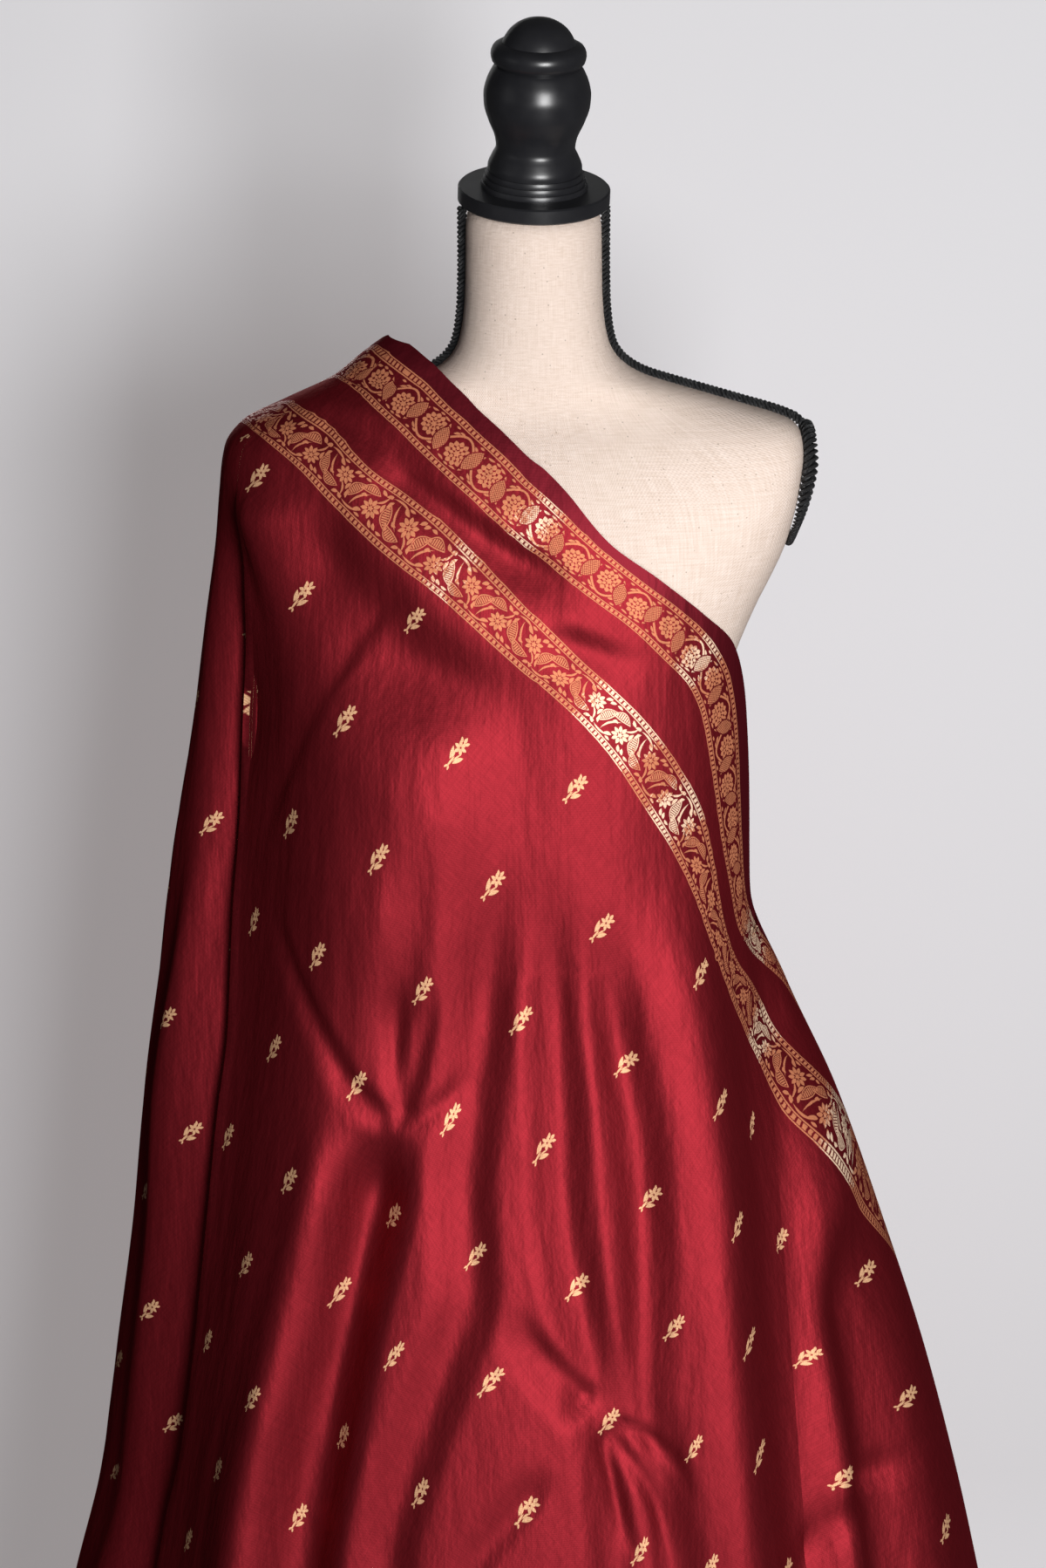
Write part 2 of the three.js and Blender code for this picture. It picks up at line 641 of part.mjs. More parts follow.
// The armhole trim is an oval laid on the form's side
function armholeTrimPoints(side) {
  const points = [];
  const { steps, top, bottom, reach, radius } = ARMHOLE_TRIM;
  for (let i = 0; i < steps; i += 1) {
    const turn = (i / steps) * 2 * Math.PI;
    const z = (top + bottom) / 2 + ((top - bottom) / 2) * Math.cos(turn);
    const y = reach * Math.sin(turn);
    const section = formSection(z);
    const depth = y < 0 ? section.front : section.back;
    const aside = Math.asin((Math.abs(y) / depth) ** (section.fullness / 2)) / DEG;
    const angle = y < 0 ? 90 - aside : 90 + aside;
    const point = formPoint(angle, z).addScaledVector(formOutward(angle, z), radius + TOUCH_GAP);
    points.push(point.multiply(new THREE.Vector3(side, 1, 1)));
  }
  return points;
}

const parts = new THREE.Group();
const dressForm = new THREE.Group();
dressForm.position.x = FORM_AXIS_X;
parts.add(dressForm);

function addPart(group, name, geometry, material) {
  const mesh = new THREE.Mesh(geometry, material);
  mesh.name = name;
  group.add(mesh);
  return mesh;
}

for (const name of Object.keys(CLOTH_COLUMNS)) addPart(parts, name, stretchGeometry(name), MATERIALS.silk);

addPart(dressForm, 'form_torso', formGeometry(), MATERIALS.linen);
const cap = addPart(dressForm, 'neck_cap', turnedGeometry(capProfile(), CAP_SIDES), MATERIALS.blackWood);
cap.rotation.set(NECK_TILT, NECK_ROLL, 0, 'YXZ');
cap.position.set(0, 0, NECK_TOP + TOUCH_GAP);

for (const [label, side] of [['left', -1], ['right', 1]]) {
  addPart(dressForm, `trim_neck_${label}`, trimGeometry(neckTrimPoints(side)), MATERIALS.blackCord);
  addPart(dressForm, `trim_armhole_${label}`, ringGeometry(armholeTrimPoints(side)), MATERIALS.blackCord);
}

const baseTop = BASE_PROFILE[BASE_PROFILE.length - 1].height;
const poleFoot = baseTop + TOUCH_GAP;
const poleHead = FORM_SECTIONS[0].height - TOUCH_GAP;
addPart(dressForm, 'stand_base', turnedGeometry(BASE_PROFILE, BASE_SIDES), MATERIALS.blackWood);
const poleProfile = [{ radius: POLE_RADIUS, height: poleFoot }, { radius: POLE_RADIUS, height: poleHead }];
addPart(dressForm, 'stand_pole', turnedGeometry(poleProfile, POLE_SIDES), MATERIALS.blackWood);

export default parts;
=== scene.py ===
import math
from collections import namedtuple
from functools import partial

import bpy
import numpy as np
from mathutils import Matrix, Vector


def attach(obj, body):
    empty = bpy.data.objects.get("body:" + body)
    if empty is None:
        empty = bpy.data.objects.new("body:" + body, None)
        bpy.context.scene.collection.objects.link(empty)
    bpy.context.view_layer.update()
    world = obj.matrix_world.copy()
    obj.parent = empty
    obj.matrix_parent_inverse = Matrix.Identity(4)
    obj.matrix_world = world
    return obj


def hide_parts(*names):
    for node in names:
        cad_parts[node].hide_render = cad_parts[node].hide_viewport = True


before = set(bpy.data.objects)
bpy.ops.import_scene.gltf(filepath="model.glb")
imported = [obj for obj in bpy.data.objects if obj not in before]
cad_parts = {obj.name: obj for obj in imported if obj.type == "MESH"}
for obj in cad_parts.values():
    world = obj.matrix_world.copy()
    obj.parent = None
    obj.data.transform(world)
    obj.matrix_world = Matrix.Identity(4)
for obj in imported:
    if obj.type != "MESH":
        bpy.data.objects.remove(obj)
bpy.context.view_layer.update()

BODY = "root"
MM = 0.001

# Cloth sizes in millimetres, and angles round the form in degrees, from straight ahead to its right
HEM_HEIGHT = 25
WAIST_HEIGHT = 1034
WAIST_ANGLE = 90
SECTION_FULLNESS = 2.25
LAYER_STEP = 16
FALL_TO_BACK_ANGLE = -125
BACK_END_ANGLE = -268
FLARE_END_ANGLE = 150
SHELL = 0.8
RIM_CORNER = math.radians(60)

# How far the selvage dips behind, and where it starts to and is down
BACK_DIP = 16
DIP_ANGLES = (-75, -118)

# Where the back starts to go under the flare, and is under it
UNDER_ANGLES = (-186, -214)
UNDER_HEIGHTS = (1094, 960)


def table(columns, *rows):
    """Rows of sizes under named columns, sorted by the first column."""
    values = np.array(sorted(rows), dtype=float)
    return {name: values[:, i] for i, name in enumerate(columns.split())}


# Level sections of the cloth: how far it reaches to each side of the form's axis
CLOTH_SECTIONS = table(
    "height left right front back",
    (1416, 97, 66, 27, 26),
    (1400, 118, 100, 46, 44),
    (1385, 137, 126, 56, 53),
    (1370, 168.6, 150, 66, 62),
    (1355, 198, 172, 76, 70),
    (1340, 209, 187, 84, 76),
    (1310, 214, 181, 96, 84),
    (1275, 219, 170, 104, 90),
    (1240, 225, 154, 111, 94),
    (1190, 233, 146.5, 117, 98),
    (1130, 242, 145.5, 122, 100),
    (WAIST_HEIGHT, 258, 147, 131, 106),
    (960, 268, 175, 142, 116),
    (880, 280, 212, 160, 132),
    (780, 291, 248, 185, 160),
    (680, 306, 281, 208, 188),
    (580, 321, 308, 230, 212),
    (480, 346, 331, 250, 236),
    (300, 382, 372, 285, 275),
    (120, 408, 405, 312, 302),
    (HEM_HEIGHT, 418, 418, 325, 315.5),
)
CREST_HEIGHT = CLOTH_SECTIONS["height"][-1]

# Where the selvage crosses each height in front, as an angle from straight ahead
SELVAGE = table(
    "height angle",
    (1416, -90), (1414.4, -80), (1412.6, -63), (1409.8, -51), (1402.8, -37.2), (1397.9, -30.7),
    (1387.3, -21.3), (1378.2, -14.5), (1360, -5.2), (1342.6, -0.4), (1326.8, 3.6), (1293, 12.5), (1267, 26),
    (1241, 43), (1218, 58), (1190, 68), (1152, 75), (1106, 82), (WAIST_HEIGHT, WAIST_ANGLE),
)
FLARE_SELVAGE = table(
    "height angle",
    (WAIST_HEIGHT, WAIST_ANGLE), (975, 101), (900, 115), (800, 130), (700, 142), (620, 150),
)

# The fold at the front's left edge and the valley at its right, as distances from the form's axis
LEFT_FOLD = table(
    "height distance",
    (1416, 88), (1400, 107), (1385, 125), (1370, 155), (1355, 184), (1343, 194), (1290, 204), (1240, 214),
    (1152, 230), (1034, 238), (944, 241), (889, 249), (801, 262), (645, 283), (581, 299), (HEM_HEIGHT, 372),
)
RIGHT_VALLEY = table(
    "height distance",
    (WAIST_HEIGHT, 147), (1000, 154), (944, 171), (889, 176), (801, 180), (645, 190), (581, 196),
    (HEM_HEIGHT, 272),
)

# A crease runs through places seen from the front. A trough has a negative depth and a ridge a positive
# one. left and right are its reach to each side, head and foot how long its ends are, and pinch how
# sharp its middle is, from 0 to 1.
Crease = namedtuple("Crease", "depth left right head foot pinch run")
CREASES = [
    # The front's left edge and the valley at its right
    Crease(-38, 44, 105, 200, 0, 0, [(-194, 1343), (-214, 1240), (-230, 1152), (-240, 944), (-262, 801),
                                     (-299, 581), (-372, 25)]),
    Crease(-20, 62, 34, 110, 0, 0, [(147, 1034), (171, 944), (180, 801), (196, 581), (272, 25)]),
    # Trough under the second border, and the swell whose left side is dark
    Crease(-12, 84, 46, 70, 120, 0, [(-182, 1322), (-156, 1288), (-133, 1262), (-108, 1235), (-76, 1206),
                                     (-32, 1186), (24, 1172)]),
    Crease(14, 90, 70, 60, 120, 0, [(-62, 1216), (-74, 1159), (-84, 1101), (-96, 1048), (-103, 989),
                                    (-108, 940)]),
    # Folds between the borders
    Crease(-6, 26, 16, 20, 60, 0.2, [(-157, 1364), (-127, 1360), (-93, 1348), (-48, 1325)]),
    Crease(-8, 28, 18, 30, 60, 0.2, [(-110, 1339), (-70, 1317), (-25, 1287), (8, 1269), (31, 1249)]),
    Crease(-5, 26, 15, 30, 50, 0.2, [(-3, 1238), (42, 1221), (77, 1209)]),
    # Pressed lines on the left of the front
    Crease(-2.5, 26, 8, 30, 60, 0.5, [(-78, 1262), (-97, 1251), (-113, 1234), (-128, 1212), (-151, 1173),
                                      (-168, 1141), (-182, 1115), (-201, 1069)]),
    Crease(11, 26, 55, 30, 120, 0, [(-188, 1325), (-184, 1280), (-178, 1235), (-172, 1180)]),
    # Hanging folds below the bust
    Crease(-5, 28, 20, 80, 60, 0, [(-74, 1120), (-80, 1056), (-89, 997), (-97, 930)]),
    Crease(-9, 34, 24, 110, 0, 0.1, [(-19, 1092), (-28, 1022), (-38, 947), (-47, 862), (-44, 806), (-62, 749),
                                     (-83, 691), (-100, 622), (-112, 300), (-121, 25)]),
    Crease(-9.5, 30, 24, 110, 0, 0.1, [(9, 1091), (10, 1033), (15, 947), (18, 862), (27, 806), (42, 740),
                                     (54, 640), (72, 300), (84, 25)]),
    Crease(-10, 28, 24, 110, 0, 0.1, [(40, 1067), (50, 985), (67, 888), (72, 803), (71, 742), (82, 678),
                                     (91, 621), (120, 300), (138, 25)]),
    Crease(11, 44, 42, 100, 0, 0, [(86, 1085), (96, 1013), (106, 938), (120, 842), (126, 756), (135, 671),
                                   (144, 600), (180, 300), (212, 25)]),
    # The gather at the left, its bright ridge and its deep valley
    Crease(-28, 46, 36, 70, 0, 0, [(-101, 920), (-115, 850), (-133, 780), (-149, 700), (-164, 614),
                                   (-188, 300), (-212, 25)]),
    Crease(10, 40, 30, 80, 0, 0, [(-118, 930), (-140, 856), (-155, 786), (-173, 732), (-192, 670),
                                  (-203, 606), (-230, 300), (-255, 25)]),
    Crease(-4, 12, 12, 50, 10, 0.3, [(-93, 1018), (-95, 970), (-93, 925), (-91, 906)]),
    Crease(-4, 12, 10, 50, 10, 0.3, [(-66, 1015), (-76, 965), (-86, 925), (-90, 906)]),
    Crease(-5, 16, 12, 60, 10, 0.3, [(-188, 1044), (-170, 1010), (-141, 961), (-129, 939), (-96, 908)]),
    Crease(-4, 14, 10, 40, 10, 0.2, [(-38, 948), (-60, 926), (-86, 908)]),
    # The small gather at the right
    Crease(-7, 26, 15, 60, 10, 0.1, [(-22, 800), (-6, 775), (14, 750), (36, 724)]),
    Crease(-3.5, 9, 8, 8, 60, 0.2, [(44, 714), (62, 692), (80, 660), (92, 615)]),
    Crease(-3.5, 9, 8, 8, 60, 0.2, [(42, 710), (50, 680), (58, 650), (76, 605)]),
    Crease(-3, 8, 8, 8, 60, 0.2, [(48, 717), (70, 707), (92, 690), (108, 650)]),
    # Long soft creases low in front
    Crease(-4, 24, 12, 30, 60, 0.2, [(10, 690), (-12, 660), (-38, 628), (-60, 560)]),
    # Flare
    Crease(-24, 30, 36, 90, 0, 0, [(218, 840), (223, 764), (232, 706), (241, 647), (248, 591), (288, 300),
                                     (326, 25)]),
    Crease(-5, 22, 14, 30, 60, 0.2, [(280, 640), (245, 638), (200, 610), (180, 560)]),
]

# Hanging folds of the sides and back, by their angle at the head and at the hem
SideFold = namedtuple("SideFold", "head head_angle hem_angle depth reach")
SIDE_FOLDS = [
    SideFold(1240, -88, -84, -9, 36),
    SideFold(1150, -112, -104, 12, 42),
    SideFold(1200, -138, -128, -14, 40),
    SideFold(1100, -160, -147, 12, 40),
    SideFold(1060, -178, -165, -15, 38),
    SideFold(1040, -202, -186, 12, 42),
    SideFold(1010, -222, -208, -13, 36),
    SideFold(900, -246, -236, -12, 34),
]
# The height that a hanging fold takes to grow, its width at its head and what it gains by the hem
SIDE_FOLD_GROWTH = 260
SIDE_FOLD_WIDTH = 0.6
SIDE_FOLD_GAIN = 0.7

# The overlap at the front's left edge: a rolled edge, and the cloth behind it
FOLD_HEAD = 1332
FOLD_FULL = 1230
FOLD_ROLL = 2.0
FOLD_TUCK = 12
FOLD_SPREAD = 12
FOLD_RECOVER = 55
ROLL_STEPS = (0, 45, 90, 135, 180)

# The weave of the fall and back: its turn from level, and where its repeat starts
FALL_TURN = 42
FALL_START = (20, 30)

# Grid of each stretch
ROWS = 250
ROW_CROWDING = 1.12
COLUMNS = {"fall": 30, "front": 146, "back": 96, "flare": 52}
HEIGHT_STEPS = 700
ARC_STEPS = 60

# Woven bands, as distances from the selvage, and where each edge of a band crosses each height in front
BAND_ONE = (17, 55)
BAND_TWO = (100, 138)
LADDER = 5.2
FIELD_SLANT = 0.72
BAND_STEPS = 240
BAND_LAP = 6
BAND_EDGES = {
    17: table(
        "height angle",
        (1409, -90), (1406, -63), (1392, -35), (1383, -25.5), (1365, -12), (1346, -4.5), (1324, 0.5),
        (1304, 6.2), (1284, 13.4), (1266, 22.2), (1248, 33.5), (1222, 48), (1193, 59), (1149, 65.5),
        (1093, 69), (1045, 72.5), (1015, 81), (985, 91), (960, 98), (900, 108), (800, 124.5), (700, 137),
        (620, 145.5),
    ),
    55: table(
        "height angle",
        (1388, -90), (1384, -61.5), (1377, -45), (1368, -33), (1359, -25), (1339, -16), (1320, -9.7),
        (1296, -3.2), (1274, 3), (1257, 10.3), (1240, 19.3), (1217, 30), (1196, 39.8), (1175, 45),
        (1137, 49.8), (1084, 55.4), (1049, 60.5), (1014, 65.8), (1000, 71), (985, 79), (962, 86.6),
        (900, 95), (800, 112), (700, 126.5), (620, 136),
    ),
    100: table(
        "height angle",
        (1373, -90), (1371, -69), (1365, -51), (1356, -39), (1347, -33.5), (1328, -24.5), (1305, -14.4),
        (1284, -8.3), (1262, -3.2), (1244, 0.5), (1222, 7.2), (1201, 16), (1177, 25.8), (1144, 37),
        (1109, 46.6), (1070, 52), (1037, 54.9), (1000, 60), (977, 68.6), (955, 75), (934, 76), (905, 79.5),
        (862, 90), (800, 100), (700, 114.5), (620, 125),
    ),
    138: table(
        "height angle",
        (1359, -90), (1351, -62), (1337, -47), (1316, -37.3), (1296, -29.3), (1278, -22), (1262, -15.4),
        (1243, -9.6), (1221, -4), (1202, 0.5), (1182, 7.5), (1156, 16), (1119, 26), (1083, 36), (1055, 42),
        (1020, 46.9), (980, 50.5), (950, 56), (924, 60), (896, 60), (870, 63.5), (827, 70.5), (793, 79),
        (700, 100), (620, 113),
    ),
}

# Sprigs stand in a half-drop repeat. Each row has the steps of a sprig in the repeat, down and to the
# right, then how far it lies to the right of straight ahead and how far up from the hem along the cloth.
SPRIG_ALONG = 74.5
SPRIG_ACROSS = 81
SPRIGS = np.array([
    (-1, 0, -197, 1325), (0, 0, -165, 1248), (0, 1, -82, 1238), (1, -1, -240, 1166), (1, 0, -127, 1172),
    (1, 1, -52, 1155), (1, 2, 25, 1130), (2, -1, -173, 1096), (2, 0, -103, 1085), (2, 1, -29, 1066),
    (2, 2, 43, 1036), (2, 3, 109, 1000), (3, -2, -222, 1018), (3, -1, -149, 1014), (3, 0, -76, 995),
    (3, 1, -11, 975), (3, 2, 61, 941), (3, 3, 120, 914), (3, 4, 162, 885), (4, -2, -193, 940),
    (4, -1, -124, 928), (4, 0, -59, 907), (4, 1, 4, 889), (4, 2, 77, 851), (4, 3, 132, 832),
    (4, 4, 188, 802), (4, 5, 281, 755), (5, -3, -257, 863), (5, -2, -175, 858), (5, -1, -101, 836),
    (5, 0, -42, 815), (5, 1, 27, 795), (5, 2, 91, 767), (5, 3, 141, 752), (5, 4, 203, 722),
    (5, 5, 302, 667), (6, -3, -219, 788), (6, -2, -141, 781), (6, -1, -98, 749), (6, 0, -31, 736),
    (6, 1, 49, 703), (6, 2, 104, 687), (6, 3, 148, 676), (6, 4, 224, 640), (6, 5, 334, 568),
    (7, -4, -278, 716), (7, -3, -199, 709), (7, -1, -80, 655), (7, 0, -8, 648), (7, 1, 70, 616),
    (7, 2, 114, 606), (8, -4, -240, 644),
], dtype=float)
SPRIG_GIVE = 0.02
SPRIG_SIZE = 1.14

# Lengths of each band where a painted highlight makes the metal threads pale, from the crest along the band
PAINTED_GLINTS = {
    BAND_ONE: ((184, 199), (327, 346), (545, 580)),
    BAND_TWO: ((196, 206), (322, 374), (408, 438), (604, 630), (690, 730)),
}

# Dress form sizes, about its own axis, for the places of its trims and cap
FORM_AXIS_X = -3
FORM_SECTIONS = table(
    "height side front back fullness",
    (1200, 137, 98, 80, 2.25), (1240, 147, 95, 78, 2.35), (1275, 160, 88, 75, 2.8), (1310, 174, 79, 70, 3.4),
    (1335, 181, 67, 61, 3.6), (1348, 180, 59, 55, 3.4), (1356, 174, 53, 50, 3), (1361, 163, 50, 48, 2.7),
    (1368, 139, 47, 46, 2.4), (1376, 111, 46, 46, 2.25), (1382, 90, 47, 46, 2.25), (1387, 74, 48, 47, 2.25),
    (1392, 64, 48, 48, 2.25), (1399, 55.5, 48, 49, 2.25), (1408, 50, 48, 49, 2.2), (1422, 47, 47, 48, 2.15),
    (1440, 45.5, 46, 47, 2.1), (1470, 45, 45, 45, 2), (1500, 45, 45, 45, 2),
)
NECK_TOP = 1500.3
NECK_TILT = 12.5
NECK_ROLL = 1.8
FORM_EASING = 12
FORM_LEVELS = 2
SHARP_CORNER = math.radians(60)

# How far the form's right side is let out under the arm, by height, as the photo's outline has it
UNDERARM = table(
    "height fill",
    (1190, 0), (1210, 2.5), (1235, 6.5), (1255, 9.5), (1272, 10.5), (1290, 8.5), (1310, 5), (1330, 1.5),
    (1345, 0),
)
UNDERARM_MOST = 10.5
UNDERARM_FADE = 4

# Twisted cords: radius of the whole and how much of it stands out of the form, the strands, the length of
# one twist and a strand's radius as shares of the radius, and the length that a strand's map calls 1
NECK_CORD = {"radius": 3.4, "top": 1497, "bottom": 1351}
ARMHOLE_CORD = {"radius": 5.1, "least": 2.4, "top": 1350, "bottom": 1274, "reach": 31}
CORD_SUNK = 0.6
CORD_STRANDS = 3
CORD_TWIST = 2.7
STRAND_SHARE = 0.46
STRAND_SIDES = 8
STRAND_UNIT = 10
CORD_STEP = 0.8

# Turned profile of the neck cap, radius and height up from its underside, in runs between sharp corners
CAP_SIDES = 96
CAP_STEP = 2.0
CAP_CORNER = math.radians(38)
CAP_RUNS = (
    ((49.0, 0), (49.9, 1), (49.9, 9.2), (48.9, 10.2)),
    ((34.9, 10.3), (35.1, 11.9), (34.3, 13.6)),
    ((33.3, 13.7), (33.6, 15.6), (32.9, 17.5)),
    ((31.9, 17.6), (32.1, 19.4), (31.4, 21.2)),
    ((30.6, 21.4), (30.9, 24), (28.4, 31), (25.8, 37), (26.6, 43), (31.4, 55), (34.4, 65), (34.8, 72),
     (33.2, 80), (29.6, 88), (28.4, 89.8)),
    ((27.4, 90.4), (27.9, 91.2), (30, 93.5), (30.9, 98), (29.4, 102.5), (25.2, 104.9)),
    ((23.6, 105.2), (22.4, 108), (19.6, 112.4), (15, 116.6), (8.4, 119.8), (2.0, 121)),
)

# Camera of the photograph, in metres and degrees
CAMERA_PLACE = (-0.010, -2.15, 1.72)
CAMERA_TILT = 16
CAMERA_FIELD = 27.118


def smooth_step(start, end, value):
    t = np.clip((value - start) / (end - start), 0, 1)
    return t * t * (3 - 2 * t)


def marks_along(points):
    """Distance of each point from the first, along the line through them."""
    steps = np.linalg.norm(np.diff(points, axis=0), axis=1)
    return np.concatenate([[0], np.cumsum(steps)])


def read_curve(rows, column, at):
    """Value of a column at a height, on a smooth curve through the rows that adds no bumps."""
    xs = rows["height"]
    ys = rows[column]
    slopes = np.diff(ys) / np.diff(xs)
    product = slopes[:-1] * slopes[1:]
    total = np.where(product > 0, slopes[:-1] + slopes[1:], 1)
    tangents = np.concatenate([slopes[:1], np.where(product > 0, 2 * product / total, 0), slopes[-1:]])
    at = np.clip(at, xs[0], xs[-1])
    i = np.clip(np.searchsorted(xs, at, side="right") - 1, 0, len(xs) - 2)
    span = xs[i + 1] - xs[i]
    t = (at - xs[i]) / span
    start = (2 * t**3 - 3 * t**2 + 1) * ys[i] + (t**3 - 2 * t**2 + t) * span * tangents[i]
    return start + (3 * t**2 - 2 * t**3) * ys[i + 1] + (t**3 - t**2) * span * tangents[i + 1]


def cloth_section(height):
    return {side: read_curve(CLOTH_SECTIONS, side, height) for side in ("left", "right", "front", "back")}


def section_point(section, angle):
    """Place on a level section at an angle from straight ahead, with rounded corners."""
    s = np.sin(np.radians(angle))
    c = np.cos(np.radians(angle))
    x = np.where(s > 0, section["right"], -section["left"]) * np.abs(s) ** (2 / SECTION_FULLNESS)
    y = np.where(c > 0, -section["front"], section["back"]) * np.abs(c) ** (2 / SECTION_FULLNESS)
    return x, y


def section_outward(section, angle, step=1.5):
    """Level direction out of the cloth, and the level direction to its right."""
    x0, y0 = section_point(section, angle - step)
    x1, y1 = section_point(section, angle + step)
    length = np.hypot(x1 - x0, y1 - y0)
    right = np.stack([(x1 - x0) / length, (y1 - y0) / length, np.zeros_like(length)], axis=-1)
    outward = np.stack([right[..., 1], -right[..., 0], np.zeros_like(length)], axis=-1)
    return outward, right


def smooth_run(run, step=14):
    """More points on a smooth curve through a run's places."""
    places = np.array(run, dtype=float)
    marks = marks_along(places)
    rows = {"height": marks, "x": places[:, 0], "z": places[:, 1]}
    at = np.linspace(0, marks[-1], max(int(marks[-1] / step), 4) + 1)
    return np.stack([read_curve(rows, "x", at), read_curve(rows, "z", at)], axis=-1)


def crease_rise(crease, x, z):
    """Rise or fall of one crease at places seen from the front."""
    line = smooth_run(crease.run)
    steps = np.diff(line, axis=0)
    starts = marks_along(line)
    best = np.full(x.shape, np.inf)
    offset = np.zeros(x.shape)
    along = np.zeros(x.shape)
    for (ax, az), (ux, uz), start, length in zip(line[:-1], steps, starts, np.diff(starts)):
        if length == 0:
            continue
        t = np.clip(((x - ax) * ux + (z - az) * uz) / length**2, 0, 1)
        gap = np.hypot(x - ax - t * ux, z - az - t * uz)
        nearer = gap < best
        side = np.where(ux * (z - az) - uz * (x - ax) > 0, 1, -1)
        best = np.where(nearer, gap, best)
        offset = np.where(nearer, side * gap, offset)
        along = np.where(nearer, start + t * length, along)
    u = np.clip(np.where(offset < 0, -offset / crease.left, offset / crease.right), 0, 1)
    soft = 0.5 + 0.5 * np.cos(np.pi * u)
    shape = (1 - crease.pinch) * soft + crease.pinch * (1 - u) ** 2
    ends = smooth_step(0, crease.head, along) if crease.head else 1
    if crease.foot:
        ends = ends * smooth_step(0, crease.foot, starts[-1] - along)
    return crease.depth * shape * ends


def front_folds(angle, x, z):
    facing = smooth_step(0, 0.3, np.cos(np.radians(angle)))
    rise = np.zeros(x.shape)
    near = facing > 0
    for crease in CREASES:
        rise[near] += crease_rise(crease, x[near], z[near])
    return rise * facing


def side_folds(angle, section, z):
    turned = np.where(angle > 0, angle - 360, angle)
    radius = sum(section.values()) / 4
    rise = np.zeros(z.shape)
    for fold in SIDE_FOLDS:
        down = smooth_step(fold.head, HEM_HEIGHT, z)
        middle = fold.head_angle + (fold.hem_angle - fold.head_angle) * down
        reach = fold.reach * (SIDE_FOLD_WIDTH + SIDE_FOLD_GAIN * down)
        u = np.radians(np.abs(turned - middle)) * radius / reach
        shape = 0.5 + 0.5 * np.cos(np.pi * np.clip(u, 0, 1))
        rise += fold.depth * shape * smooth_step(fold.head, fold.head - SIDE_FOLD_GROWTH, z)
    return rise


def cloth_place(angle, z, inset=0.0, folds=True):
    """Outer surface of the cloth. inset moves a layer towards the form."""
    section = cloth_section(z)
    x, y = section_point(section, angle)
    outward, _ = section_outward(section, angle)
    hidden = np.clip(np.asarray(inset) / LAYER_STEP, 0, 1)
    rise = np.zeros(np.shape(x))
    if folds:
        rise = (front_folds(angle, x, z) + side_folds(angle, section, z)) * (1 - hidden)
    return np.stack([x, y, z], axis=-1) + outward * (rise - inset)[..., None]


def angle_at_distance(distance, extent):
    return np.degrees(np.arcsin(np.minimum(distance / extent, 1) ** (SECTION_FULLNESS / 2)))


def front_left_angle(z):
    return -angle_at_distance(read_curve(LEFT_FOLD, "distance", z), cloth_section(z)["left"])


def front_right_angle(z):
    angle = angle_at_distance(read_curve(RIGHT_VALLEY, "distance", z), cloth_section(z)["right"])
    return np.where(z >= WAIST_HEIGHT, WAIST_ANGLE, angle)


HEIGHTS = np.linspace(HEM_HEIGHT, CREST_HEIGHT, HEIGHT_STEPS)


def row_arcs(points):
    """Distance of each point of each row from the row's first, in plan."""
    steps = np.linalg.norm(np.diff(points[..., :2], axis=1), axis=-1)
    return np.concatenate([np.zeros((len(points), 1)), np.cumsum(steps, axis=1)], axis=1)


def column_angles(start, end, shares, margins):
    """Angle of each column at each of HEIGHTS, spaced by arc length inside the margins."""
    ways = np.linspace(0, 1, ARC_STEPS + 1)
    angles = start(HEIGHTS)[:, None] * (1 - ways) + end(HEIGHTS)[:, None] * ways
    section = {side: reach[:, None] for side, reach in cloth_section(HEIGHTS).items()}
    arcs = row_arcs(np.stack(section_point(section, angles), axis=-1))
    found = np.empty((len(HEIGHTS), len(shares)))
    for row in range(len(HEIGHTS)):
        whole = arcs[row, -1]
        targets = margins[0] + shares * (whole - margins[0] - margins[1])
        found[row] = np.interp(targets, arcs[row], angles[row])
    return found


def at_heights(grid, z):
    """Values of a grid of columns by HEIGHTS at the height z of each column."""
    place = (z - HEIGHTS[0]) / (HEIGHTS[1] - HEIGHTS[0])
    low = np.clip(place.astype(int), 0, len(HEIGHTS) - 2)
    share = np.clip(place - low, 0, 1)
    columns = np.broadcast_to(np.arange(grid.shape[1]), z.shape)
    return grid[low, columns] * (1 - share) + grid[low + 1, columns] * share


def column_tops(grid, selvage):
    """Height at which each column meets a selvage."""
    low = np.full(grid.shape[1], selvage["height"][0])
    high = np.full(grid.shape[1], selvage["height"][-1])
    for _ in range(40):
        middle = (low + high) / 2
        past = at_heights(grid, middle) > read_curve(selvage, "angle", middle)
        high = np.where(past, middle, high)
        low = np.where(past, low, middle)
    return (low + high) / 2


def mirrored(angle):
    return -180 - angle


def back_tops(grid):
    """Behind, the selvage is the front's mirrored, and dips below it."""
    tops = column_tops(np.maximum(grid, mirrored(grid)), SELVAGE)
    return tops - BACK_DIP * smooth_step(*DIP_ANGLES, at_heights(grid, tops))


def travel_up(side):
    """Distance up the cloth's profile on one side, from the hem to each of HEIGHTS."""
    return marks_along(np.stack([read_curve(CLOTH_SECTIONS, side, HEIGHTS), HEIGHTS], axis=-1))


# The left profile spaces the rows, and the front one places the weave
LEFT_TRAVEL = travel_up("left")
FRONT_TRAVEL = travel_up("front")


def arc_from(points, angle, start):
    """Distance round each level row of points, to the right of the place at a start angle."""
    arc = row_arcs(points)
    starts = np.broadcast_to(start, (len(points), 1))[:, 0]
    zero = np.array([np.interp(starts[row], angle[row], arc[row]) for row in range(len(points))])
    return arc - zero[:, None]


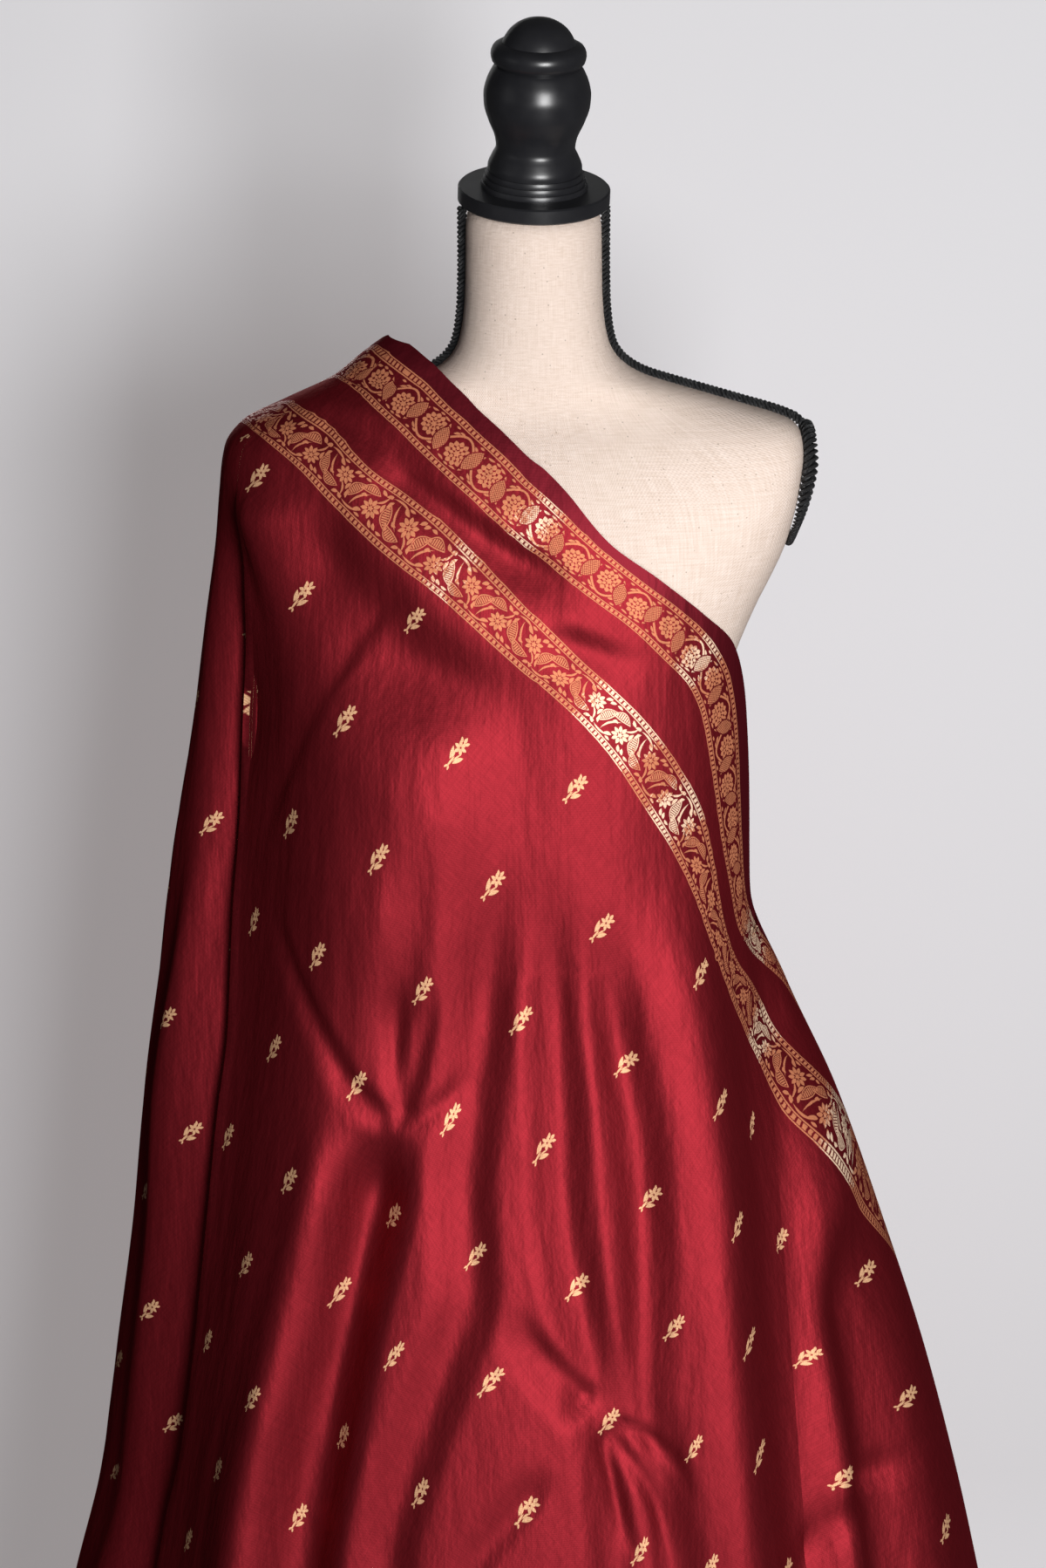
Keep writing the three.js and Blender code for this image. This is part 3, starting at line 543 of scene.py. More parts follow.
def row_heights(tops):
    shares = (np.arange(ROWS + 1) / ROWS) ** ROW_CROWDING
    start = np.interp(tops, HEIGHTS, LEFT_TRAVEL)
    z = np.interp(start[None, :] * (1 - shares[:, None]), LEFT_TRAVEL, HEIGHTS)
    z[-1] = HEM_HEIGHT
    return z


def constant(angle):
    return lambda z: np.full(np.shape(z), float(angle))


def stretch_angles(name):
    """Angles of a stretch's columns at HEIGHTS."""
    shares = np.linspace(0, 1, COLUMNS[name] + 1)
    ends = {
        "fall": (constant(FALL_TO_BACK_ANGLE), front_left_angle, (0, FOLD_SPREAD)),
        "front": (front_left_angle, front_right_angle, (FOLD_SPREAD, 0)),
        "back": (constant(BACK_END_ANGLE), constant(FALL_TO_BACK_ANGLE), (0, 0)),
        "flare": (front_right_angle, constant(FLARE_END_ANGLE), (0, 0)),
    }
    start, end, margins = ends[name]
    return column_angles(start, end, shares, margins)


def fold_section():
    """Places along the overlap's section, right and outward of the fold line, from the front's side."""
    turns = np.radians(ROLL_STEPS)
    upper = [(FOLD_ROLL - FOLD_ROLL * math.sin(a), -FOLD_ROLL + FOLD_ROLL * math.cos(a)) for a in turns]
    lower = [(FOLD_TUCK + FOLD_ROLL * math.sin(a), -3 * FOLD_ROLL + FOLD_ROLL * math.cos(a)) for a in turns]
    return np.array(upper + lower)


def grid_faces(rows, columns):
    """Quads of a grid of points whose columns run to the right as it is faced and rows down."""
    r, c = np.meshgrid(np.arange(rows), np.arange(columns), indexing="ij")
    a = (r * (columns + 1) + c).ravel()
    return np.stack([a, a + columns + 1, a + columns + 2, a + 1], axis=1)


def edge_angle(edge, z):
    """Angle at which a band's edge crosses a height, and the crest's angle above its start."""
    rows = BAND_EDGES[edge]
    return np.where(z >= rows["height"][-1], -90.0, read_curve(rows, "angle", z))


def selvage_angle(z):
    front = read_curve(SELVAGE, "angle", z)
    return np.where(z >= WAIST_HEIGHT, front, read_curve(FLARE_SELVAGE, "angle", z))


def band_middle(edges, behind):
    """Middle line of a band from the crest to the flare's end, with the distance along it."""
    outer, inner = edges
    start = (BAND_EDGES[outer]["height"][-1] + BAND_EDGES[inner]["height"][-1]) / 2
    low = WAIST_HEIGHT if behind else HEM_HEIGHT
    z = np.concatenate([[start], np.linspace(BAND_EDGES[inner]["height"][-1], low, BAND_STEPS)])
    angle = (edge_angle(outer, z) + edge_angle(inner, z)) / 2
    angle[0] = -90
    if behind:
        z = z - BACK_DIP * smooth_step(*DIP_ANGLES, mirrored(angle))
        angle = mirrored(angle)
    line = cloth_place(angle, z, folds=False)
    marks = marks_along(line)
    return line, -marks if behind else marks


def nearest_on_line(points, line, marks):
    """Distance of each point from a line, and the mark of the nearest place on it."""
    best = np.full(len(points), np.inf)
    mark = np.zeros(len(points))
    for a, b, start, end in zip(line[:-1], line[1:], marks[:-1], marks[1:]):
        step = b - a
        t = np.clip((points - a) @ step / (step @ step), 0, 1)
        gap = np.linalg.norm(points - a - t[:, None] * step, axis=1)
        nearer = gap < best
        best = np.where(nearer, gap, best)
        mark = np.where(nearer, start + t * (end - start), mark)
    return best, mark


def band_maps(angle, z, flat):
    """For each band, the place along it and the distance from the selvage."""
    behind = angle < -90
    ahead = np.where(behind, mirrored(angle), angle)
    raised = z + BACK_DIP * smooth_step(*DIP_ANGLES, angle)
    section = cloth_section(raised)
    place = np.stack(section_point(section, ahead), axis=-1)
    edges = sorted(BAND_EDGES, reverse=True)
    starts = [BAND_EDGES[edge]["height"][-1] for edge in edges]
    crest = np.interp(raised, starts + [CREST_HEIGHT], edges + [0])
    knots = [(edge_angle(edge, raised), np.minimum(edge, crest)) for edge in edges]
    knots.append((selvage_angle(raised), np.zeros(z.shape)))

    def gap_to(angle_there):
        return np.linalg.norm(place - np.stack(section_point(section, angle_there), axis=-1), axis=-1)

    off = knots[0][1].copy()
    for (from_angle, from_off), (to_angle, to_off) in zip(knots[:-1], knots[1:]):
        before = gap_to(from_angle)
        share = before / np.maximum(before + gap_to(to_angle), 1e-6)
        inside = (ahead >= from_angle) & (to_angle > from_angle)
        off = np.where(inside, from_off + np.where(ahead < to_angle, share, 1) * (to_off - from_off), off)
    maps = []
    points = flat.reshape(-1, 3)
    for band in (BAND_ONE, BAND_TWO):
        best = np.full(len(points), np.inf)
        mark = np.zeros(len(points))
        for side in (False, True):
            gap, along = nearest_on_line(points, *band_middle(band, side))
            mine = (behind.ravel() == side) | (np.abs(angle.ravel() + 90) < BAND_LAP)
            nearer = (gap < best) & mine
            best = np.where(nearer, gap, best)
            mark = np.where(nearer, along, mark)
        maps.append(mark.reshape(z.shape))
    off = np.where(ahead < knots[0][0], edges[0] + FIELD_SLANT * gap_to(knots[0][0]), off)
    return [np.stack([mark, off], axis=-1) for mark in maps]


def thin_plate(known, values, points, give):
    """Smooth map that takes known places to values, applied to points."""
    def bend(a, b):
        square = ((a[:, None, :] - b[None, :, :]) ** 2).sum(axis=-1)
        return 0.5 * square * np.log(np.maximum(square, 1e-9))
    count = len(known)
    flat_part = np.concatenate([np.ones((count, 1)), known], axis=1)
    matrix = np.zeros((count + 3, count + 3))
    matrix[:count, :count] = bend(known, known) + give * np.eye(count)
    matrix[:count, count:] = flat_part
    matrix[count:, :count] = flat_part.T
    weights = np.linalg.solve(matrix, np.concatenate([values, np.zeros((3, values.shape[1]))]))
    result = np.concatenate([np.ones((len(points), 1)), points], axis=1) @ weights[count:]
    return result + bend(points, known) @ weights[:count]


def sprig_map(arc, up):
    """Place in the woven repeat: along the borders' direction, and across it."""
    steps = SPRIGS[:, :2]
    along = steps.sum(axis=1) * SPRIG_ALONG
    across = (steps[:, 0] - steps[:, 1]) * SPRIG_ACROSS / 2
    values = np.stack([along, across], axis=1)
    points = np.stack([arc.ravel(), up.ravel()], axis=1) / 100
    found = thin_plate(SPRIGS[:, 2:] / 100, values, points, SPRIG_GIVE)
    return found.reshape(*arc.shape, 2)


def turned_map(arc, up, turn, start):
    """Unrolled place turned so that its first coordinate runs along the borders."""
    c, s = math.cos(math.radians(turn)), math.sin(math.radians(turn))
    return np.stack([arc * c - up * s + start[0], -up * c - arc * s + start[1]], axis=-1)


def add_object(name, data):
    added = bpy.data.objects.new(name, data)
    bpy.context.scene.collection.objects.link(added)
    return added


def smooth_piece(name, points, faces, material, maps):
    """A smooth mesh from points in millimetres, with the maps that its material reads, by corner."""
    mesh = bpy.data.meshes.new(name)
    mesh.from_pydata((points * MM).tolist(), [], faces.tolist())
    for map_name, values in maps.items():
        mesh.uv_layers.new(name=map_name).data.foreach_set("uv", values.ravel())
    mesh.polygons.foreach_set("use_smooth", [True] * len(faces))
    mesh.materials.append(material)
    mesh.update()
    return add_object(name, mesh)


def cloth_mesh(name, points, bands, weave, material):
    """A grid of points as one sheet with its maps, thickened inwards."""
    faces = grid_faces(points.shape[0] - 1, points.shape[1] - 1)
    grids = {"Band one": bands[0], "Band two": bands[1], "Cloth": weave}
    maps = {map_name: grid.reshape(-1, 2)[faces.ravel()] * MM for map_name, grid in grids.items()}
    sheet = smooth_piece(name, points.reshape(-1, 3), faces, material, maps)
    wall = sheet.modifiers.new("wall", "SOLIDIFY")
    wall.thickness = SHELL * MM
    wall.offset = -1
    apply_modifiers(sheet)
    bpy.ops.object.shade_smooth_by_angle(angle=RIM_CORNER)
    return sheet


def choose(piece):
    bpy.ops.object.select_all(action="DESELECT")
    piece.select_set(True)
    bpy.context.view_layer.objects.active = piece


def apply_modifiers(piece):
    choose(piece)
    for modifier in list(piece.modifiers):
        bpy.ops.object.modifier_apply(modifier=modifier.name)


def front_sheet(material):
    """The front and the fall at its left, one sheet that laps over itself at the fold."""
    fall = stretch_angles("fall")
    front = stretch_angles("front")
    lap = fold_section()
    lap_count = len(lap)
    shares = np.arange(1, lap_count + 1) / (lap_count + 1)
    lap_angles = fall[:, -1:] * (1 - shares) + front[:, :1] * shares
    angles = np.concatenate([fall, lap_angles, front], axis=1)
    tops = np.concatenate([back_tops(fall), np.zeros(lap_count), column_tops(front, SELVAGE)])
    first_front = fall.shape[1] + lap_count
    lap_columns = np.arange(fall.shape[1], first_front)
    tops[lap_columns] = tops[fall.shape[1] - 1] * (1 - shares) + tops[first_front] * shares
    z = row_heights(tops)
    angle = at_heights(angles, z)
    flat = cloth_place(angle, z, folds=False)
    points = cloth_place(angle, z)
    folded = smooth_step(FOLD_HEAD, FOLD_FULL, z)
    section = cloth_section(z)
    outward, right = section_outward(section, angle)

    # The fall lies behind the front by the depth of the lap
    lap_depth = 4 * FOLD_ROLL
    fall_columns = np.arange(fall.shape[1])
    edge = flat[:, first_front:first_front + 1]
    away = np.linalg.norm(flat[:, fall_columns] - edge, axis=-1) - 2 * FOLD_SPREAD
    sunk = lap_depth * folded[:, fall_columns] * smooth_step(FOLD_RECOVER, 0, away)
    points[:, fall_columns] -= outward[:, fall_columns] * sunk[..., None]

    # The lap's own columns go from a plain surface to the folded section
    corner = (points[:, first_front] + points[:, fall.shape[1] - 1]
              + outward[:, first_front] * lap_depth * folded[:, first_front, None]) / 2
    for column, (aside, out) in zip(lap_columns[::-1], lap):
        place = corner + right[:, first_front] * aside + outward[:, first_front] * out
        share = folded[:, column, None]
        points[:, column] = points[:, column] * (1 - share) + place * share
    points[..., 2] = z

    up = np.interp(z, HEIGHTS, FRONT_TRAVEL)
    weave = sprig_map(arc_from(flat, angle, 0), up)
    left = np.arange(angle.shape[1]) < first_front - lap_count // 2
    fall_arc = arc_from(points, angle, angle[:, [first_front - 1]])
    weave[:, left] = turned_map(fall_arc, up, FALL_TURN, FALL_START)[:, left]
    bands = band_maps(angle, z, flat)
    return cloth_mesh("saree_front", points, bands, weave, material)


def plain_sheet(stretch, material):
    """The back or the flare, which have no lap of their own."""
    flared = stretch == "flare"
    grid = stretch_angles(stretch)
    z = row_heights(column_tops(grid, FLARE_SELVAGE) if flared else back_tops(grid))
    angle = at_heights(grid, z)
    inset = 0.0 if flared else back_inset(angle, z)
    flat = cloth_place(angle, z, inset, folds=False)
    points = cloth_place(angle, z, inset)
    up = np.interp(z, HEIGHTS, FRONT_TRAVEL)
    if flared:
        valley = arc_to_valley(angle[:, :1], z[:, :1])
        weave = sprig_map(arc_from(flat, angle, angle[:, :1]) + valley, up)
    else:
        weave = turned_map(arc_from(flat, angle, FALL_TO_BACK_ANGLE), up, -FALL_TURN, FALL_START)
    return cloth_mesh(f"saree_{stretch}", points, band_maps(angle, z, flat), weave, material)


def arc_to_valley(angle, z):
    """Distance round the section from straight ahead to an angle."""
    ways = np.linspace(0, 1, ARC_STEPS + 1) * angle
    section = {side: np.broadcast_to(reach, ways.shape) for side, reach in cloth_section(z).items()}
    return row_arcs(np.stack(section_point(section, ways), axis=-1))[:, -1:]


def back_inset(angle, z):
    """The back's end goes under the flare."""
    return LAYER_STEP * smooth_step(*UNDER_ANGLES, angle) * smooth_step(*UNDER_HEIGHTS, z)


def feed(tree, socket, value):
    if isinstance(value, bpy.types.NodeSocket):
        tree.links.new(value, socket)
    else:
        socket.default_value = value


def math_node(tree, operation, *values, clamp=False):
    node = tree.nodes.new("ShaderNodeMath")
    node.operation = operation
    node.use_clamp = clamp
    for socket, value in zip(node.inputs, values):
        feed(tree, socket, value)
    return node.outputs[0]


def new_group(name, inputs, outputs):
    """An empty node group: its tree, its maths, and its sockets by name. All but Vector are numbers."""
    tree = bpy.data.node_groups.new(name, "ShaderNodeTree")
    for way, labels in (("INPUT", inputs), ("OUTPUT", outputs)):
        for label in labels:
            kind = "NodeSocketVector" if label == "Vector" else "NodeSocketFloat"
            tree.interface.new_socket(name=label, in_out=way, socket_type=kind)
    entry = tree.nodes.new("NodeGroupInput")
    leave = tree.nodes.new("NodeGroupOutput")
    return tree, partial(math_node, tree), entry.outputs, leave.inputs


def use_group(tree, group, **values):
    node = tree.nodes.new("ShaderNodeGroup")
    node.node_tree = group
    for label, value in values.items():
        feed(tree, node.inputs[label.replace("_", " ")], value)
    return node.outputs


LINE_SOFT = 0.35


def mask_of(tree, depth, softness=LINE_SOFT):
    """1 where depth is positive and 0 where it is negative, over a soft edge."""
    return math_node(tree, "MULTIPLY_ADD", depth, 1 / softness, 0.5, clamp=True)


def leaf_group():
    """Depth inside a leaf, petal or paisley whose middle line may bend, in millimetres."""
    inputs = ("X", "Y", "Center X", "Center Y", "Axis X", "Axis Y", "Length", "Width", "Bend")
    tree, m, at, out = new_group("Leaf", inputs, ("Depth", "Along", "Across"))
    dx = m("SUBTRACT", at["X"], at["Center X"])
    dy = m("SUBTRACT", at["Y"], at["Center Y"])
    along = m("ADD", m("MULTIPLY", dx, at["Axis X"]), m("MULTIPLY", dy, at["Axis Y"]))
    across = m("SUBTRACT", m("MULTIPLY", dy, at["Axis X"]), m("MULTIPLY", dx, at["Axis Y"]))
    share = m("DIVIDE", along, at["Length"])
    hump = m("SUBTRACT", 1, m("MULTIPLY", share, share))
    bent = m("SUBTRACT", across, m("MULTIPLY", hump, at["Bend"]))
    depth = m("SUBTRACT", m("MULTIPLY", hump, at["Width"]), m("ABSOLUTE", bent))
    feed(tree, out["Depth"], depth)
    feed(tree, out["Along"], along)
    feed(tree, out["Across"], bent)
    return tree


def ring_group():
    """Depth inside a ring of petals round a centre, in millimetres."""
    inputs = ("X", "Y", "Count", "Radius", "Length", "Width", "Turn")
    tree, m, at, out = new_group("Petals", inputs, ("Depth",))
    radius = m("SQRT", m("ADD", m("MULTIPLY", at["X"], at["X"]), m("MULTIPLY", at["Y"], at["Y"])))
    angle = m("ADD", m("ARCTAN2", at["Y"], at["X"]), at["Turn"])
    cell = m("DIVIDE", 2 * math.pi, at["Count"])
    local = m("SUBTRACT", m("FLOORED_MODULO", angle, cell), m("MULTIPLY", cell, 0.5))
    across = m("MULTIPLY", local, radius)
    along = m("DIVIDE", m("SUBTRACT", radius, at["Radius"]), at["Length"])
    hump = m("SUBTRACT", 1, m("MULTIPLY", along, along))
    feed(tree, out["Depth"], m("SUBTRACT", m("MULTIPLY", hump, at["Width"]), m("ABSOLUTE", across)))
    return tree


def repeat_group():
    """Place in a repeat: X from its middle, and Y turned over in every other repeat."""
    tree, m, at, out = new_group("Repeat", ("X", "Y", "Period", "Start"), ("X", "Y"))
    moved = m("DIVIDE", m("SUBTRACT", at["X"], at["Start"]), at["Period"])
    local = m("SUBTRACT", m("FLOORED_MODULO", moved, 1), 0.5)
    odd = m("SUBTRACT", m("MULTIPLY", m("GREATER_THAN", m("FLOORED_MODULO", moved, 2), 1), -2), -1)
    feed(tree, out["X"], m("MULTIPLY", local, at["Period"]))
    feed(tree, out["Y"], m("MULTIPLY", at["Y"], odd))
    return tree


def union(tree, *masks):
    joined = masks[0]
    for mask in masks[1:]:
        joined = math_node(tree, "MAXIMUM", joined, mask)
    return joined


def leaf(tree, groups, x, y, center, toward, length, width, bend=0.0):
    """A leaf node: its axis is a direction in degrees from the band's run."""
    turn = math.radians(toward)
    return use_group(tree, groups["leaf"], X=x, Y=y, Center_X=center[0], Center_Y=center[1],
                     Axis_X=math.cos(turn), Axis_Y=math.sin(turn), Length=length, Width=width, Bend=bend)


def leaves(tree, groups, x, y, rows):
    """Masks of plain leaves. Each row has a leaf's centre, direction, half length, half width and bend."""
    return [mask_of(tree, leaf(tree, groups, x, y, *row)["Depth"]) for row in rows]


def petals(tree, groups, x, y, *rows):
    """Masks of rings of petals. Each row has their count, radius, half length, half width and turn."""
    labels = ("Count", "Radius", "Length", "Width", "Turn")
    rings = [use_group(tree, groups["petals"], X=x, Y=y, **dict(zip(labels, row))) for row in rows]
    return [mask_of(tree, ring["Depth"]) for ring in rings]


def outlined(tree, node, line, gap, pitch):
    """A leaf with an outline, a gap inside it and cross threads in its middle."""
    m = partial(math_node, tree)
    depth = node["Depth"]
    edge = m("MULTIPLY", mask_of(tree, depth), mask_of(tree, m("SUBTRACT", line, depth)))
    inside = mask_of(tree, m("SUBTRACT", depth, line + gap))
    wave = m("SINE", m("MULTIPLY", node["Along"], 2 * math.pi / pitch))
    threads = m("MULTIPLY_ADD", wave, 1.4, 1.1, clamp=True)
    return union(tree, edge, m("MULTIPLY", inside, threads))


def cross_hatched(tree, node, pitch):
    """A leaf filled with small diamonds, as a pineapple is."""
    m = partial(math_node, tree)
    a = m("SINE", m("MULTIPLY", m("ADD", node["Along"], node["Across"]), math.pi / pitch))
    b = m("SINE", m("MULTIPLY", m("SUBTRACT", node["Along"], node["Across"]), math.pi / pitch))
    cells = m("MULTIPLY_ADD", m("MINIMUM", m("ABSOLUTE", a), m("ABSOLUTE", b)), 4.5, -0.9, clamp=True)
    return m("MULTIPLY", mask_of(tree, node["Depth"]), cells)


def ladder_mask(tree, x, y, low, high, pitch=3.5):
    """Two thin lines with a row of small upright beads between them."""
    m = partial(math_node, tree)
    middle = (low + high) / 2
    half = (high - low) / 2
    off = m("ABSOLUTE", m("SUBTRACT", y, middle))
    line = mask_of(tree, m("SUBTRACT", 0.42, m("ABSOLUTE", m("SUBTRACT", off, half - 0.42))), 0.3)
    wave = m("ABSOLUTE", m("SUBTRACT", m("FLOORED_MODULO", m("DIVIDE", x, pitch), 1), 0.5))
    bead_across = mask_of(tree, m("SUBTRACT", 1.35, off), 0.4)
    bead_along = mask_of(tree, m("SUBTRACT", 0.32 * pitch, m("MULTIPLY", wave, pitch)), 0.4)
    return union(tree, line, m("MULTIPLY", bead_across, bead_along))


def pineapple_band(groups):
    """Border nearest the selvage: many-petalled flowers and pineapples on a waving vine."""
    tree, m, at, out = new_group("Pineapple band", ("X", "Y"), ("Mask",))
    period, swing = 25.8, 11.2
    cell = use_group(tree, groups["repeat"], X=at["X"], Y=at["Y"], Period=period, Start=0.0)
    x, y = cell["X"], cell["Y"]
    wave = m("MULTIPLY", x, math.pi / period)
    vine_y = m("MULTIPLY", m("COSINE", wave), swing)
    rise = m("MULTIPLY", m("SINE", wave), swing * math.pi / period)
    steep = m("SQRT", m("MULTIPLY_ADD", rise, rise, 1))
    off = m("DIVIDE", m("ABSOLUTE", m("SUBTRACT", y, vine_y)), steep)
    vine = mask_of(tree, m("SUBTRACT", 0.8, off))
    flower = petals(tree, groups, m("SUBTRACT", x, 1.0), m("ADD", y, 2.0), (6, 1.2, 1.5, 0.85, 0),
                    (9, 4.0, 1.6, 1.2, 0.3), (12, 7.0, 2.0, 1.75, 0))
    fruit_cell = use_group(tree, groups["repeat"], X=at["X"], Y=at["Y"], Period=period, Start=11.6)
    px, py = fruit_cell["X"], fruit_cell["Y"]
    body = leaf(tree, groups, px, py, (0.0, 1.6), 78, 9.6, 4.6)
    fruit = cross_hatched(tree, body, 1.9)
    cuts = m("SUBTRACT", 1, mask_of(tree, m("ADD", body["Depth"], 0.9)))
    sprays = leaves(tree, groups, x, y, (
        ((-8.6, 8.2), 35, 2.6, 0.9, 0.3), ((-5.4, 10.6), 5, 2.4, 0.8, 0.2), ((8.4, 8.6), 145, 2.6, 0.9, -0.3),
        ((5.0, -11.4), 10, 2.6, 0.8, 0.3), ((0, -12.0), 0, 1.9, 0.8), ((-5.6, -11.2), 170, 2.6, 0.8, -0.3),
        ((10.2, -8.2), 60, 2.4, 0.8, 0.3), ((-10.4, -7.6), 120, 2.4, 0.8, 0.3), ((10.8, 12.2), 0, 1.8, 0.8),
        ((-11.0, 12.0), 0, 1.8, 0.8)))
    rest = m("MULTIPLY", union(tree, vine, *flower, *sprays), cuts)
    feed(tree, out["Mask"], union(tree, fruit, rest))
    return tree


def paisley_band(groups):
    """Second border: daisies with pairs of paisleys, curled leaves and stems between them."""
    tree, m, at, out = new_group("Paisley band", ("X", "Y"), ("Mask",))
    period = 27.6
    cell = use_group(tree, groups["repeat"], X=at["X"], Y=at["Y"], Period=period, Start=0.0)
    x, y = cell["X"], cell["Y"]
    daisy = petals(tree, groups, m("SUBTRACT", x, 6.2), m("ADD", y, 3.2), (5, 0.9, 1.2, 0.8, 0),
                   (9, 4.4, 2.5, 1.35, 0.2))
    tall = outlined(tree, leaf(tree, groups, x, y, (-8.4, 0.6), 68, 8.0, 3.7, 1.8), 0.8, 0.4, 1.5)
    curled = outlined(tree, leaf(tree, groups, x, y, (-0.4, 5.6), 12, 7.4, 3.5, 2.6), 0.8, 0.4, 1.5)
    stems = leaves(tree, groups, x, y, (
        ((-3.2, -3.4), 62, 8.2, 0.75, 2.2), ((-6.4, -10.6), 6, 7.0, 0.75, -1.6),
        ((9.0, 6.2), 58, 5.6, 0.75, -1.6), ((12.4, 10.6), 20, 2.8, 1.3, 0.5),
        ((7.6, 11.2), 150, 2.6, 1.2, 0.4), ((-12.2, 10.4), 40, 2.6, 1.2, 0.4),
        ((-6.8, 11.6), 0, 2.4, 1.0, 0.3), ((-0.6, -9.6), 30, 3.0, 1.3, 0.5),
        ((-12.4, -6.4), 110, 3.2, 1.2, 0.6), ((1.2, -12.2), 0, 2.4, 0.9, 0.2),
        ((12.2, -10.8), 140, 2.8, 1.2, 0.4), ((12.8, 1.8), 95, 3.2, 1.2, 0.5),
        ((-2.6, 1.0), 20, 2.3, 1.1, 0.8)))
    feed(tree, out["Mask"], union(tree, *daisy, tall, curled, *stems))
    return tree


def sprig_group(groups):
    """Small sprig: a forked stem, two leaves, a blossom and a bud, upright along +Y."""
    tree, m, at, out = new_group("Sprig", ("X", "Y"), ("Mask",))
    x, y = at["X"], at["Y"]
    parts = leaves(tree, groups, x, y, (
        ((0, -6.4), 90, 3.6, 0.65, 0.2), ((-0.9, -9.6), 70, 1.3, 0.6), ((0.9, -9.6), 110, 1.3, 0.6),
        ((-2.9, -2.4), 112, 3.6, 1.15, -0.3), ((-1.5, -2.2), 104, 3.2, 0.5, -0.3),
        ((3.1, -3.4), 60, 3.6, 1.2, 0.3), ((1.6, -2.6), 72, 3.2, 0.5, 0.3),
        ((0.2, 7.4), 92, 1.9, 1.0), ((-1.9, 6.4), 130, 1.7, 0.85), ((2.2, 6.6), 55, 1.7, 0.85)))
    bloom = petals(tree, groups, x, m("SUBTRACT", y, 2.8), (6, 2.3, 1.9, 1.05, 0.4))
    feed(tree, out["Mask"], union(tree, *parts, *bloom))
    return tree


def noise(tree, place, scale, detail, stretch=(1, 1, 1), roughness=0.5):
    """Noise at a place, drawn out along the directions where stretch is small."""
    mapping = tree.nodes.new("ShaderNodeMapping")
    mapping.inputs["Scale"].default_value = stretch
    feed(tree, mapping.inputs["Vector"], place)
    texture = tree.nodes.new("ShaderNodeTexNoise")
    for label, value in (("Vector", mapping.outputs[0]), ("Scale", scale), ("Detail", detail),
                         ("Roughness", roughness)):
        feed(tree, texture.inputs[label], value)
    return texture.outputs[0]


def object_place(tree):
    return tree.nodes.new("ShaderNodeTexCoord").outputs["Object"]


def weave_group():
    """Plain weave with uneven threads, from a place in metres."""
    tree, m, at, out = new_group("Weave", ("Vector", "Thread", "Slub"), ("Height", "Tone"))
    parts = tree.nodes.new("ShaderNodeSeparateXYZ")
    feed(tree, parts.inputs[0], at["Vector"])
    scale = m("DIVIDE", math.pi, at["Thread"])
    across = m("SINE", m("MULTIPLY", parts.outputs["X"], scale))
    along = m("SINE", m("MULTIPLY", parts.outputs["Y"], scale))
    drawn = [noise(tree, at["Vector"], 900, 2, stretch) for stretch in ((0.06, 1, 1), (1, 0.06, 1))]
    slubs = m("ADD", *drawn)
    feed(tree, out["Height"], m("ADD", m("MULTIPLY", across, along), m("MULTIPLY", slubs, at["Slub"])))
    feed(tree, out["Tone"], m("MULTIPLY_ADD", slubs, 0.5, -0.5))
    return tree


def new_material(name):
    """A material with its tree, its shader and its maths."""
    material = bpy.data.materials.new(name)
    material.use_nodes = True
    tree = material.node_tree
    return material, tree, tree.nodes["Principled BSDF"], partial(math_node, tree)


def mix_color(tree, factor, low, high):
    node = tree.nodes.new("ShaderNodeMix")
    node.data_type = "RGBA"
    feed(tree, node.inputs["Factor"], factor)
    feed(tree, node.inputs["A"], low)
    feed(tree, node.inputs["B"], high)
    return node.outputs["Result"]


def add_bump(tree, shader, height, distance, strength, under=None):
    """Bumps by a height, in metres, over those of another bump where one is given."""
    bump = tree.nodes.new("ShaderNodeBump")
    bump.inputs["Distance"].default_value = distance
    bump.inputs["Strength"].default_value = strength
    feed(tree, bump.inputs["Height"], height)
    if under is not None:
        feed(tree, bump.inputs["Normal"], under)
    feed(tree, shader.inputs["Normal"], bump.outputs[0])
    return bump.outputs[0]


def uv_parts(tree, name):
    """A map's two coordinates in millimetres, and the map itself."""
    node = tree.nodes.new("ShaderNodeUVMap")
    node.uv_map = name
    parts = tree.nodes.new("ShaderNodeSeparateXYZ")
    feed(tree, parts.inputs[0], node.outputs[0])
    scale = 1 / MM
    return (math_node(tree, "MULTIPLY", parts.outputs["X"], scale),
            math_node(tree, "MULTIPLY", parts.outputs["Y"], scale), node.outputs[0])


def between(tree, value, low, high):
    return math_node(tree, "MULTIPLY", math_node(tree, "GREATER_THAN", value, low),
                     math_node(tree, "LESS_THAN", value, high))


# Colours and finishes of the silk and its metal threads
SILK_RED = (0.220, 0.015, 0.022, 1)
SILK_BRIGHT = (0.320, 0.022, 0.032, 1)
SILK_EDGE = (0.25, 0.03, 0.04, 1)
EDGE_MAROON = (0.19, 0.015, 0.025, 1)
ZARI = (0.70, 0.26, 0.13, 1)
ZARI_DARK = (0.38, 0.12, 0.062, 1)
SPRIG_ZARI = (0.95, 0.60, 0.34, 1)
# Pale colour painted onto the metal threads as a highlight, and how much of it is painted in
PAINTED_GLINT_ZARI = (1.0, 0.78, 0.56, 1)
PAINTED_GLINT_SHARE = 0.8
SILK_METALLIC = 0.88
ZARI_METALLIC = 0.25
SILK_ROUGHNESS = 0.61
ZARI_ROUGHNESS = 0.56
BAND_STARTS = {BAND_ONE: 6.0, BAND_TWO: 3.0}
SPRIG_CLEARANCE = 8


